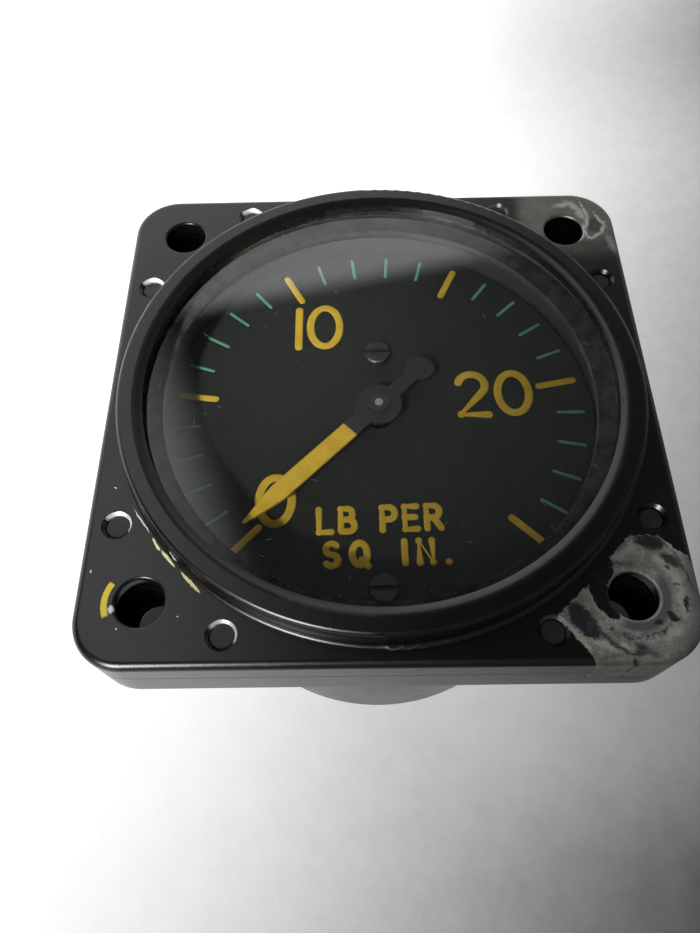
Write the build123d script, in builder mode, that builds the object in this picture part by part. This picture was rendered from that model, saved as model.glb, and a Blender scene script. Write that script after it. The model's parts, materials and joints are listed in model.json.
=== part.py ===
from build123d import *
import math
import os

# Panel pressure indicator with a curved pressure tube, a toothed sector and a pointer.
# Millimetres. The origin is the centre of the flange's front face, where the panel bears.
# +Z points out of the dial towards the reader, +Y to the top of the dial.

# Raised ring round the glass
ring_radius = 28.3
ring_width = 2.8
ring_height = 3.26
ring_foot_radius = 0.5
ring_crown_radius = 0.5
ring_land_width = 1.7
lip_bevel_drop = 0.4
lip_bevel_crown = 0.09

# Screws that join bezel and case, in pairs beside the flange's edges
joint_screw_ring_gap = 3.04
joint_screw_half_angle = 30.0
joint_screw_edge = 3.159
joint_screw_radius = 1.24
joint_screw_head_radius = 2.3
joint_screw_tip_depth = 0.45
joint_screw_tip_chamfer = 0.15
joint_hole_mouth_radius = 1.58
screw_clearance = 0.1
thread_clearance = 0.02
countersink_angle = 90.0

# Flange
flange_corner_radius = 5.2
flange_edge_radius = 0.8
bezel_plate_thickness = 3.7
case_flange_thickness = 5.2
case_flange_edge_radius = 0.4
panel_hole_edge = 6.488
panel_hole_radius = 2.41
panel_hole_edge_radius = 0.3

# Glass, gasket and spacer ring
glass_edge_wall = 1.4
glass_front = 1.93
glass_thickness = 3.2
glass_edge_chamfer = 0.3
glass_seat_clearance = 0.2
gasket_width = 2.9
gasket_thickness = 0.8
spacer_wall = 1.5
seat_step_depth = 3.6

# Seal between bezel and case
seal_groove_wall = 1.0
seal_width = 1.1
seal_depth = 0.9
seal_clearance = 0.05

# Case
can_radius = 26.1
can_wall = 1.6
can_depth = 34.7
rear_wall = 2.0
can_root_radius = 1.2
can_rear_edge_radius = 1.0
can_floor_radius = 0.8

# Dial
dial_edge_gap = 1.9
dial_depth = 6.1
dial_thickness = 0.8
dial_hub_hole_radius = 1.9
dial_screw_upper = 8.5
dial_screw_lower = -21.3
dial_screw_head_radius = 1.6
dial_screw_head_height = 0.8
dial_screw_radius = 0.85
dial_screw_length = 3.8
dial_screw_slot_width = 0.5
dial_screw_slot_depth = 0.45

# Pointer
pointer_rest_angle = -134.6
pointer_gap = 2.0
pointer_thickness = 0.35
pointer_length = 20.65
pointer_point_length = 5.0
pointer_width = 2.1
pointer_tip_width = 0.3
pointer_eye_radius = 2.6
pointer_tail_length = 6.9
pointer_tail_width = 1.7
pointer_tail_disc_radius = 1.65
hub_radius = 1.2
hub_height = 1.45
hub_proud = 0.25

# Movement plates
front_plate_depth = 10.8
plate_thickness = 1.2
plate_gap = 7.8
plate_half_width = 10.3
plate_top = 8.3
plate_bottom = -21.6
plate_corner_radius = 3.0
plate_lobe_radius = 1.9
pillar_x = 8.4
pillar_upper_y = 5.8
pillar_lower_y = -19.3
pillar_radius = 1.4
pillar_tenon_radius = 0.8
plate_screw_radius = 0.65
plate_screw_length = 3.6
plate_screw_head_radius = 1.2
plate_screw_head_height = 0.8
plate_screw_slot_width = 0.4
plate_screw_slot_depth = 0.35
fixed_clearance = 0.02
post_radius = 1.5
post_tenon_radius = 0.9

# Pinion and toothed sector
gear_module = 0.25
pressure_angle = 20.0
addendum = 0.2
dedendum = 0.275
backlash = 0.06
pinion_teeth = 12
sector_teeth = 84
sector_cut_teeth = 12
sector_spare_teeth = 1
pointer_sweep = 270.0
sector_depth = 15.0
sector_thickness = 0.8
sector_rim_width = 1.9
sector_hub_radius = 2.1
sector_spoke_width = 1.4
sector_spoke_overlap = 0.5
pinion_length = 2.0
staff_radius = 0.7
journal_radius = 0.6
journal_clearance = 0.03
bush_radius = 1.5
bush_proud = 0.3
staff_end_play = 0.1
staff_nose_radius = 0.45
staff_nose_proud = 0.2
sector_staff_radius = 0.9

# Tail, link and pins
tail_length = 4.0
tail_width = 2.4
tail_middle_angle = -78.0
link_length = 10.0
link_angle = 12.0
link_width = 1.7
link_thickness = 0.5
link_gap = 0.1
pin_radius = 0.45
pin_clearance = 0.03
pin_head_radius = 0.75
pin_head_height = 0.35

# Curved pressure tube and its tip
tube_radius = 19.6
tube_thickness = 2.2
tube_height = 7.0
tube_wall = 0.35
tube_plate_gap = 3.3
tube_root_angle = -101.5
tube_arc = 300.0
braze_gap = 0.05
tip_wall = 0.55
tip_end_wall = 5.0
tip_grip_angle = 3.0
tip_arm_thickness = 0.8
tip_arm_width = 3.6
tip_post_radius = 1.2
tip_post_offset = 0.6
tip_slot_clearance = 0.1

# Pressure socket
column_half_width = 6.5
column_inner_y = -13.8
socket_outer_y = -21.5
foot_half_width = 8.9
foot_inner_y = -3.5
foot_thickness = 7.0
socket_edge_radius = 1.2
port_y = -12.5
port_radius = 4.3
port_depth = 8.0
port_chamfer = 0.8
port_boss_radius = 6.4
port_boss_recess = 0.2
passage_radius = 0.9
passage_y = -15.8
port_seal_radius = 6.9
socket_screw_x = 6.9
socket_screw_upper_y = -5.4
socket_screw_lower_y = -19.6
socket_screw_radius = 1.2
socket_screw_head_radius = 2.3
socket_screw_length = 6.0
socket_screw_tip_chamfer = 0.4
movement_screw_x = 4.2
movement_screw_y = -18.2
movement_screw_radius = 0.8
movement_screw_length = 4.0

# Hairspring
spring_inner_radius = 1.55
spring_outer_radius = 4.6
spring_turns = 4
spring_steps_per_turn = 20
spring_strip = 0.15
spring_height = 0.8
spring_depth = 17.9
collet_radius = 1.4
collet_height = 1.2
stud_radius = 0.5

# Stop pins
stop_pin_radius = 0.6
stop_pin_distance = 9.5
stop_pin_gap = 0.05
stop_pin_proud = 0.4

# Chamfer of cheese heads, and the band in which an edge counts as lying on a level
cheese_head_chamfer = 0.15
level_band = 0.01

# Levels and places that follow from the sizes above
lip_radius = ring_radius - ring_width
lip_top = ring_height - lip_bevel_drop
land_inner_radius = ring_radius - ring_land_width
lip_bevel_run = math.hypot(land_inner_radius - lip_radius, lip_bevel_drop)
lip_bevel_middle = (
    (lip_radius + land_inner_radius) / 2 - lip_bevel_crown * lip_bevel_drop / lip_bevel_run,
    (lip_top + ring_height) / 2 + lip_bevel_crown * (land_inner_radius - lip_radius) / lip_bevel_run,
)
glass_radius = ring_radius - glass_edge_wall
gasket_inner_radius = glass_radius - gasket_width
dial_radius = glass_radius - dial_edge_gap
joint_screw_circle = ring_radius + joint_screw_ring_gap
joint_screw_starts = (-joint_screw_half_angle, joint_screw_half_angle)
joint_screw_offset = joint_screw_circle * math.cos(math.radians(joint_screw_half_angle))
flange_side = 2 * (joint_screw_offset + joint_screw_edge)
panel_hole_spacing = flange_side - 2 * panel_hole_edge
flange_rear = -bezel_plate_thickness - case_flange_thickness
case_rear = flange_rear - can_depth
case_floor = case_rear + rear_wall
glass_seat_radius = glass_radius + glass_seat_clearance
seal_groove_radius = glass_seat_radius + seal_groove_wall
glass_rear = glass_front - glass_thickness
gasket_rear = glass_rear - gasket_thickness
seat_step = -bezel_plate_thickness - seat_step_depth
dial_face = -dial_depth
dial_back = dial_face - dial_thickness
pointer_back = dial_face + pointer_gap
pointer_face = pointer_back + pointer_thickness
hub_top = pointer_face + hub_proud
front_plate_face = -front_plate_depth
front_plate_back = front_plate_face - plate_thickness
rear_plate_face = front_plate_back - plate_gap
rear_plate_back = rear_plate_face - plate_thickness
tube_top = rear_plate_back - tube_plate_gap
tube_middle = tube_top - tube_height / 2
sector_face = -sector_depth
sector_back = sector_face - sector_thickness
link_face = sector_back - link_gap
link_back = link_face - link_thickness
arm_face = link_back - link_gap
arm_back = arm_face - tip_arm_thickness
pinion_pitch_radius = gear_module * pinion_teeth / 2
sector_pitch_radius = gear_module * sector_teeth / 2
shaft_distance = pinion_pitch_radius + sector_pitch_radius
sector_swing = pointer_sweep * pinion_teeth / sector_teeth
tooth_pitch_angle = 360 / sector_teeth
tail_rest_angle = tail_middle_angle - sector_swing / 2
foot_face = case_floor + foot_thickness
dial_screw_places = ((0, dial_screw_upper), (0, dial_screw_lower))
plate_middle_y = (plate_top + plate_bottom) / 2
plate_height = plate_top - plate_bottom
pillar_places = (
    (pillar_x, pillar_upper_y),
    (-pillar_x, pillar_upper_y),
    (pillar_x, pillar_lower_y),
    (-pillar_x, pillar_lower_y),
)
pivot_places = ((0, 0), (0, -shaft_distance))
movement_screw_places = ((movement_screw_x, movement_screw_y), (-movement_screw_x, movement_screw_y))
socket_screw_places = (
    (socket_screw_x, socket_screw_upper_y),
    (-socket_screw_x, socket_screw_upper_y),
    (socket_screw_x, socket_screw_lower_y),
    (-socket_screw_x, socket_screw_lower_y),
)


def polar(radius, degrees, centre=(0, 0)):
    """The point at a radius and an angle, counted anticlockwise from +X, about a centre."""
    turn = math.radians(degrees)
    return (centre[0] + radius * math.cos(turn), centre[1] + radius * math.sin(turn))


sector_pivot = pivot_places[1]
tail_end = polar(tail_length, tail_rest_angle, sector_pivot)
tail_end_full = polar(tail_length, tail_rest_angle + sector_swing, sector_pivot)
link_end = polar(link_length, link_angle, tail_end)
link_end_full = polar(link_length, link_angle, tail_end_full)
tail_sagitta = tail_length * (1 - math.cos(math.radians(sector_swing / 2)))
stop_pin_turn = math.degrees(math.asin((stop_pin_radius + stop_pin_gap) / stop_pin_distance))
rim_start_angle = 90 - (sector_cut_teeth - sector_spare_teeth - 0.5) * tooth_pitch_angle
rim_end_angle = 90 + (sector_spare_teeth + 0.5) * tooth_pitch_angle
stop_pin_places = (
    polar(stop_pin_distance, rim_start_angle - stop_pin_turn, sector_pivot),
    polar(stop_pin_distance, rim_end_angle + sector_swing + stop_pin_turn, sector_pivot),
)


def involute_turn(base_radius, radius):
    """The angle in radians by which an involute has leaned where it reaches a radius."""
    if radius <= base_radius:
        return 0.0
    roll = math.sqrt((radius / base_radius) ** 2 - 1)
    return roll - math.atan(roll)


def tooth_points(teeth, first_angle, count):
    """Corners of a run of involute teeth, anticlockwise, the first tooth centred on first_angle."""
    pitch_radius = gear_module * teeth / 2
    base_radius = pitch_radius * math.cos(math.radians(pressure_angle))
    pitch_lean = involute_turn(base_radius, pitch_radius)
    half_tooth = (math.pi * gear_module / 2 - backlash) / (2 * pitch_radius)
    radii = (
        pitch_radius - dedendum,
        pitch_radius - dedendum / 2,
        pitch_radius,
        pitch_radius + addendum / 2,
        pitch_radius + addendum,
    )
    points = []
    for tooth in range(count):
        centre = first_angle + tooth * 360 / teeth
        leans = [math.degrees(half_tooth + pitch_lean - involute_turn(base_radius, r)) for r in radii]
        points += [polar(r, centre - lean) for r, lean in zip(radii, leans)]
        points += [polar(r, centre + lean) for r, lean in zip(reversed(radii), reversed(leans))]
    return points


def countersunk_screw(head_radius, shank_radius, length, tip_chamfer):
    """A slotted countersunk screw, the flat of its head at the origin and its tip towards +Z."""
    taper = head_radius - shank_radius
    with BuildPart() as screw:
        with BuildSketch(Plane.XZ):
            with BuildLine():
                Polyline(
                    (0, 0),
                    (head_radius, 0),
                    (shank_radius, taper),
                    (shank_radius, length - tip_chamfer),
                    (shank_radius - tip_chamfer, length),
                    (0, length),
                    close=True,
                )
            make_face()
        revolve(axis=Axis.Z)
        Box(2 * head_radius, plate_screw_slot_width, 2 * plate_screw_slot_depth, mode=Mode.SUBTRACT)
    return screw.part


def cheese_head_screw(head_radius, head_height, shank_radius, length, slot_width, slot_depth):
    """A slotted cheese-head screw, its head's underside at the origin and its tip towards -Z."""
    with BuildPart() as screw:
        with BuildSketch():
            Circle(head_radius)
        extrude(amount=head_height)
        chamfer(screw.edges().group_by(Axis.Z)[-1], cheese_head_chamfer)
        with BuildSketch():
            Circle(shank_radius)
        extrude(amount=-length)
        with Locations((0, 0, head_height)):
            Box(2 * head_radius, slot_width, 2 * slot_depth, mode=Mode.SUBTRACT)
    return screw.part


def headed_pin(top, bottom):
    """A pin with a head at each end, along Z between the two levels inside its heads."""
    with BuildPart() as pin:
        with BuildSketch(Plane.XY.offset(bottom)):
            Circle(pin_radius)
        extrude(amount=top - bottom)
        with BuildSketch(Plane.XY.offset(top)):
            Circle(pin_head_radius)
        extrude(amount=pin_head_height)
        with BuildSketch(Plane.XY.offset(bottom)):
            Circle(pin_head_radius)
        extrude(amount=-pin_head_height)
    return pin.part


def riveted_post(radius, length, tenon_radius, bore_radius, bore_depth):
    """A post that stands on a plate at the origin, with a tenon through the plate and a tapped top."""
    with BuildPart() as post:
        with BuildSketch():
            Circle(radius)
        extrude(amount=length)
        with BuildSketch():
            Circle(tenon_radius)
        extrude(amount=-plate_thickness)
        with Locations((0, 0, length)):
            Hole(bore_radius, depth=bore_depth)
    return post.part


def plain_ring(inner_radius, outer_radius, bottom, top):
    """A ring of rectangular section round the Z axis."""
    with BuildPart() as ring:
        with BuildSketch(Plane.XY.offset(bottom)):
            Circle(outer_radius)
            Circle(inner_radius, mode=Mode.SUBTRACT)
        extrude(amount=top - bottom)
    return ring.part


def radial_plane(degrees):
    """The upright plane through the case's axis at the tube's level, its X axis at an angle."""
    turn = math.radians(degrees)
    return Plane(
        origin=(0, 0, tube_middle),
        x_dir=(math.cos(turn), math.sin(turn), 0),
        z_dir=(math.sin(turn), -math.cos(turn), 0),
    )


def keep(part, name):
    """Labels a finished piece and writes it to its own file."""
    part.label = name
    export_step(part, f"parts/{name}.step")


os.makedirs("parts", exist_ok=True)

# Bezel: front plate of the flange and the raised ring, one casting
with BuildPart() as bezel:
    with BuildSketch(Plane.XY.offset(-bezel_plate_thickness)):
        RectangleRounded(flange_side, flange_side, flange_corner_radius)
    extrude(amount=bezel_plate_thickness)
    fillet(bezel.edges().group_by(Axis.Z)[-1], flange_edge_radius)
    with BuildSketch():
        Circle(ring_radius)
    extrude(amount=ring_height)
    ring_edges = bezel.edges().filter_by(GeomType.CIRCLE)
    crown = ring_edges.filter_by_position(Axis.Z, ring_height - level_band, ring_height + level_band)
    fillet(crown, ring_crown_radius)
    ring_edges = bezel.edges().filter_by(GeomType.CIRCLE)
    foot = ring_edges.filter_by_position(Axis.Z, -level_band, level_band).sort_by(SortBy.RADIUS)[-1]
    fillet(foot, ring_foot_radius)
    with BuildSketch(Plane.XZ):
        with BuildLine():
            Polyline(
                (land_inner_radius, ring_height),
                (0, ring_height),
                (0, -bezel_plate_thickness),
                (glass_seat_radius, -bezel_plate_thickness),
                (glass_seat_radius, glass_front),
                (lip_radius, glass_front),
                (lip_radius, lip_top),
            )
            ThreePointArc((lip_radius, lip_top), lip_bevel_middle, (land_inner_radius, ring_height))
        make_face()
    revolve(axis=Axis.Z, mode=Mode.SUBTRACT)
    with GridLocations(panel_hole_spacing, panel_hole_spacing, 2, 2):
        Hole(panel_hole_radius)
    mouths = bezel.edges().filter_by(GeomType.CIRCLE).filter_by_position(Axis.Z, -level_band, level_band)
    fillet(mouths.group_by(SortBy.RADIUS)[0], panel_hole_edge_radius)
    for start in joint_screw_starts:
        with PolarLocations(joint_screw_circle, 4, start_angle=start):
            CounterSinkHole(joint_screw_radius + thread_clearance, joint_hole_mouth_radius)
keep(bezel.part, "bezel")

# Cover glass, gasket and spacer ring
with BuildPart() as cover_glass:
    with BuildSketch(Plane.XY.offset(glass_rear)):
        Circle(glass_radius)
    extrude(amount=glass_thickness)
    chamfer(cover_glass.edges(), glass_edge_chamfer)
keep(cover_glass.part, "cover_glass")

glass_gasket = plain_ring(gasket_inner_radius, glass_radius, gasket_rear, glass_rear)
keep(glass_gasket, "glass_gasket")

spacer_ring = plain_ring(glass_radius - spacer_wall, glass_radius, seat_step, gasket_rear)
keep(spacer_ring, "spacer_ring")

# Case: rear half of the flange, can and rear wall, one casting
rear_side = Plane(origin=(0, 0, case_rear), x_dir=(1, 0, 0), z_dir=(0, 0, -1))
flange_rear_side = Plane(origin=(0, 0, flange_rear), x_dir=(1, 0, 0), z_dir=(0, 0, -1))
with BuildPart() as case:
    with BuildSketch(Plane.XY.offset(flange_rear)):
        RectangleRounded(flange_side, flange_side, flange_corner_radius)
    extrude(amount=case_flange_thickness)
    fillet(case.edges().group_by(Axis.Z)[0], case_flange_edge_radius)
    with BuildSketch(Plane.XY.offset(case_rear)):
        Circle(can_radius)
    extrude(amount=can_depth)
    rims = case.edges().filter_by(GeomType.CIRCLE)
    rear_rim = rims.filter_by_position(Axis.Z, case_rear - level_band, case_rear + level_band)
    fillet(rear_rim, can_rear_edge_radius)
    rims = case.edges().filter_by(GeomType.CIRCLE)
    root = rims.filter_by_position(Axis.Z, flange_rear - level_band, flange_rear + level_band)
    fillet(root.sort_by(SortBy.RADIUS)[-1], can_root_radius)
    with BuildSketch(Plane.XZ):
        with BuildLine():
            Polyline(
                (0, case_floor),
                (can_radius - can_wall - can_floor_radius, case_floor),
                (can_radius - can_wall, case_floor + can_floor_radius),
                (can_radius - can_wall, seat_step),
                (glass_seat_radius, seat_step),
                (glass_seat_radius, -bezel_plate_thickness),
                (0, -bezel_plate_thickness),
                close=True,
            )
        make_face()
    revolve(axis=Axis.Z, mode=Mode.SUBTRACT)
    with BuildSketch(Plane.XY.offset(-bezel_plate_thickness)):
        Circle(seal_groove_radius + seal_width)
        Circle(seal_groove_radius, mode=Mode.SUBTRACT)
    extrude(amount=-seal_depth, mode=Mode.SUBTRACT)
    with Locations(Plane.XY.offset(-bezel_plate_thickness)):
        with GridLocations(panel_hole_spacing, panel_hole_spacing, 2, 2):
            Hole(panel_hole_radius, depth=case_flange_thickness)
    for start in joint_screw_starts:
        with Locations(flange_rear_side):
            with PolarLocations(joint_screw_circle, 4, start_angle=start):
                CounterSinkHole(
                    joint_screw_radius + screw_clearance,
                    joint_screw_head_radius + screw_clearance,
                    depth=case_flange_thickness,
                    counter_sink_angle=countersink_angle,
                )
    with Locations((0, port_y, case_floor)):
        Hole(port_boss_radius + fixed_clearance, depth=rear_wall)
    for x, y in socket_screw_places:
        with Locations(rear_side):
            with Locations((x, -y)):
                CounterSinkHole(
                    socket_screw_radius + screw_clearance,
                    socket_screw_head_radius + screw_clearance,
                    depth=rear_wall,
                    counter_sink_angle=countersink_angle,
                )
keep(case.part, "case")

flange_seal = plain_ring(
    seal_groove_radius + seal_clearance,
    seal_groove_radius + seal_width - seal_clearance,
    -bezel_plate_thickness - seal_depth,
    -bezel_plate_thickness,
)
keep(flange_seal, "flange_seal")

# Screws through the case's flange into the bezel, from behind
joint_screw = countersunk_screw(
    joint_screw_head_radius,
    joint_screw_radius,
    -flange_rear - joint_screw_tip_depth,
    joint_screw_tip_chamfer,
)
with BuildPart() as bezel_screws:
    for start in joint_screw_starts:
        with Locations((0, 0, flange_rear)):
            with PolarLocations(joint_screw_circle, 4, start_angle=start):
                add(joint_screw)
keep(bezel_screws.part, "bezel_screws")

# Dial, its posts and its screws
with BuildPart() as dial:
    with BuildSketch(Plane.XY.offset(dial_back)):
        Circle(dial_radius)
        Circle(dial_hub_hole_radius, mode=Mode.SUBTRACT)
        with Locations(*dial_screw_places):
            Circle(dial_screw_radius + screw_clearance, mode=Mode.SUBTRACT)
    extrude(amount=dial_thickness)
keep(dial.part, "dial")

dial_post = riveted_post(
    post_radius,
    dial_back - front_plate_face,
    post_tenon_radius,
    dial_screw_radius + thread_clearance,
    dial_screw_length - dial_thickness,
)
with BuildPart() as dial_posts:
    with Locations(*[(x, y, front_plate_face) for x, y in dial_screw_places]):
        add(dial_post)
keep(dial_posts.part, "dial_posts")

dial_screw = cheese_head_screw(
    dial_screw_head_radius,
    dial_screw_head_height,
    dial_screw_radius,
    dial_screw_length - screw_clearance,
    dial_screw_slot_width,
    dial_screw_slot_depth,
)
with BuildPart() as dial_screws:
    with Locations(*[(x, y, dial_face) for x, y in dial_screw_places]):
        add(dial_screw)
keep(dial_screws.part, "dial_screws")

# Pointer: one blade with its eye, tail and tail disc, on a turned hub
pointer_turn = math.radians(90 - pointer_rest_angle)
pointer_plane = Plane(
    origin=(0, 0, pointer_back),
    x_dir=(math.cos(pointer_turn), math.sin(pointer_turn), 0),
    z_dir=(0, 0, 1),
)
with BuildPart() as pointer:
    with BuildSketch(pointer_plane):
        with BuildLine():
            Polyline(
                (0, -pointer_width / 2),
                (pointer_length - pointer_point_length, -pointer_width / 2),
                (pointer_length, -pointer_tip_width / 2),
                (pointer_length, pointer_tip_width / 2),
                (pointer_length - pointer_point_length, pointer_width / 2),
                (0, pointer_width / 2),
                close=True,
            )
        make_face()
        with Locations((-pointer_tail_length / 2, 0)):
            Rectangle(pointer_tail_length, pointer_tail_width)
        with Locations((-pointer_tail_length, 0)):
            Circle(pointer_tail_disc_radius)
        Circle(pointer_eye_radius)
        Circle(hub_radius + fixed_clearance, mode=Mode.SUBTRACT)
    extrude(amount=pointer_thickness)
keep(pointer.part, "pointer")

pointer_hub = plain_ring(staff_nose_radius + fixed_clearance, hub_radius, hub_top - hub_height, hub_top)
keep(pointer_hub, "pointer_hub")

# Movement plates
with BuildPart() as front_plate:
    with BuildSketch(Plane.XY.offset(front_plate_back)):
        with Locations((0, plate_middle_y)):
            RectangleRounded(2 * plate_half_width, plate_height, plate_corner_radius)
        with Locations(*dial_screw_places):
            Circle(plate_lobe_radius)
            Circle(post_tenon_radius + fixed_clearance, mode=Mode.SUBTRACT)
        with Locations(*pillar_places):
            Circle(plate_screw_radius + screw_clearance, mode=Mode.SUBTRACT)
        with Locations(*pivot_places):
            Circle(bush_radius + fixed_clearance, mode=Mode.SUBTRACT)
    extrude(amount=plate_thickness)
keep(front_plate.part, "front_plate")

with BuildPart() as rear_plate:
    with BuildSketch(Plane.XY.offset(rear_plate_back)):
        with Locations((0, plate_middle_y)):
            RectangleRounded(2 * plate_half_width, plate_height, plate_corner_radius)
        with Locations(*pillar_places):
            Circle(pillar_tenon_radius + fixed_clearance, mode=Mode.SUBTRACT)
        with Locations(*pivot_places):
            Circle(bush_radius + fixed_clearance, mode=Mode.SUBTRACT)
        with Locations(*movement_screw_places):
            Circle(movement_screw_radius + screw_clearance, mode=Mode.SUBTRACT)
        with Locations(*stop_pin_places):
            Circle(stop_pin_radius + fixed_clearance, mode=Mode.SUBTRACT)
        with Locations((spring_outer_radius + spring_strip + stud_radius, 0)):
            Circle(stud_radius + fixed_clearance, mode=Mode.SUBTRACT)
    extrude(amount=plate_thickness)
keep(rear_plate.part, "rear_plate")

plate_pillar = riveted_post(
    pillar_radius,
    plate_gap,
    pillar_tenon_radius,
    plate_screw_radius + thread_clearance,
    plate_screw_length - plate_thickness,
)
with BuildPart() as plate_pillars:
    with Locations(*[(x, y, rear_plate_face) for x, y in pillar_places]):
        add(plate_pillar)
keep(plate_pillars.part, "plate_pillars")

plate_screw = cheese_head_screw(
    plate_screw_head_radius,
    plate_screw_head_height,
    plate_screw_radius,
    plate_screw_length - screw_clearance,
    plate_screw_slot_width,
    plate_screw_slot_depth,
)
with BuildPart() as plate_screws:
    with Locations(*[(x, y, front_plate_face) for x, y in pillar_places]):
        add(plate_screw)
keep(plate_screws.part, "plate_screws")

# Bearings of both shafts, in both plates
front_bush = plain_ring(
    journal_radius + journal_clearance,
    bush_radius,
    front_plate_back,
    front_plate_face + bush_proud,
)
rear_bush = plain_ring(
    journal_radius + journal_clearance,
    bush_radius,
    rear_plate_back,
    rear_plate_face + bush_proud,
)
with BuildPart() as pivot_bushes:
    with Locations(*pivot_places):
        add(front_bush)
        add(rear_bush)
keep(pivot_bushes.part, "pivot_bushes")

# Pointer shaft with its pinion
with BuildPart() as pinion_staff:
    with BuildSketch(Plane.XZ):
        with BuildLine():
            Polyline(
                (0, rear_plate_back),
                (journal_radius, rear_plate_back),
                (journal_radius, rear_plate_face + bush_proud + staff_end_play),
                (staff_radius, rear_plate_face + bush_proud + staff_end_play),
                (staff_radius, front_plate_back - staff_end_play),
                (journal_radius, front_plate_back - staff_end_play),
                (journal_radius, front_plate_face + bush_proud),
                (staff_nose_radius, front_plate_face + bush_proud),
                (staff_nose_radius, hub_top + staff_nose_proud),
                (0, hub_top + staff_nose_proud),
                close=True,
            )
        make_face()
    revolve(axis=Axis.Z)
    pinion_middle = (sector_face + sector_back) / 2
    with BuildSketch(Plane.XY.offset(pinion_middle - pinion_length / 2)):
        with BuildLine():
            first_tooth = -90 + 180 / pinion_teeth
            Polyline(*tooth_points(pinion_teeth, first_tooth, pinion_teeth), close=True)
        make_face()
    extrude(amount=pinion_length)
keep(pinion_staff.part, "pinion_staff")

# Toothed sector with its tail, and its shaft
sector_plane = Plane(origin=(*sector_pivot, sector_back))
rim_inner_radius = sector_pitch_radius - sector_rim_width
with BuildPart() as sector_gear:
    with BuildSketch(sector_plane):
        with BuildLine():
            teeth = tooth_points(sector_teeth, rim_start_angle + tooth_pitch_angle / 2, sector_cut_teeth)
            root_radius = sector_pitch_radius - dedendum
            outer_start = polar(root_radius, rim_start_angle)
            outer_end = polar(root_radius, rim_end_angle)
            inner_start = polar(rim_inner_radius, rim_start_angle)
            inner_end = polar(rim_inner_radius, rim_end_angle)
            inner_middle = polar(rim_inner_radius, (rim_start_angle + rim_end_angle) / 2)
            Polyline(inner_start, outer_start, *teeth, outer_end, inner_end)
            ThreePointArc(inner_end, inner_middle, inner_start)
        make_face()
        spoke_lean = math.degrees(sector_spoke_width / 2 / rim_inner_radius)
        for spoke_angle in (rim_start_angle + spoke_lean, rim_end_angle - spoke_lean):
            spoke_length = rim_inner_radius + sector_spoke_overlap
            with Locations(Location((*polar(spoke_length / 2, spoke_angle), 0), spoke_angle)):
                Rectangle(spoke_length, sector_spoke_width)
        Circle(sector_hub_radius)
        tail_middle = polar(tail_length / 2, tail_rest_angle)
        with Locations(tail_middle):
            SlotCenterToCenter(tail_length, tail_width, rotation=tail_rest_angle)
        Circle(sector_staff_radius + fixed_clearance, mode=Mode.SUBTRACT)
        with Locations(polar(tail_length, tail_rest_angle)):
            Circle(pin_radius + pin_clearance, mode=Mode.SUBTRACT)
    extrude(amount=sector_thickness)
keep(sector_gear.part, "sector_gear")

with BuildPart() as sector_staff:
    with BuildSketch(Plane(origin=(*sector_pivot, rear_plate_back))):
        Circle(journal_radius)
    extrude(amount=front_plate_face + bush_proud - rear_plate_back)
    with BuildSketch(Plane(origin=(*sector_pivot, rear_plate_face + bush_proud + staff_end_play))):
        Circle(sector_staff_radius)
    extrude(amount=plate_gap - bush_proud - 2 * staff_end_play)
keep(sector_staff.part, "sector_staff")

# Link from the sector's tail to the tube's tip, and its two pins
with BuildPart() as link:
    with BuildSketch(Plane.XY.offset(link_back)):
        with Locations(polar(link_length / 2, link_angle, tail_end)):
            SlotCenterToCenter(link_length, link_width, rotation=link_angle)
        with Locations(tail_end, link_end):
            Circle(pin_radius + fixed_clearance, mode=Mode.SUBTRACT)
    extrude(amount=link_thickness)
keep(link.part, "link")

tail_pin_part = headed_pin(sector_face + link_gap, link_back)
with BuildPart() as tail_pin:
    with Locations(tail_end):
        add(tail_pin_part)
keep(tail_pin.part, "tail_pin")

tip_pin_part = headed_pin(link_face, arm_back - link_gap)
with BuildPart() as tip_pin:
    with Locations(link_end):
        add(tip_pin_part)
keep(tip_pin.part, "tip_pin")

# Curved pressure tube: a flattened hollow section turned about the case's axis
tube_end_angle = tube_root_angle - tube_arc
with BuildPart() as bourdon_tube:
    with BuildSketch(radial_plane(tube_root_angle)):
        with Locations((tube_radius, 0)):
            SlotOverall(tube_height, tube_thickness, rotation=90)
            SlotOverall(
                tube_height - 2 * tube_wall,
                tube_thickness - 2 * tube_wall,
                rotation=90,
                mode=Mode.SUBTRACT,
            )
    revolve(axis=Axis.Z, revolution_arc=-tube_arc)
keep(bourdon_tube.part, "bourdon_tube")

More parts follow.
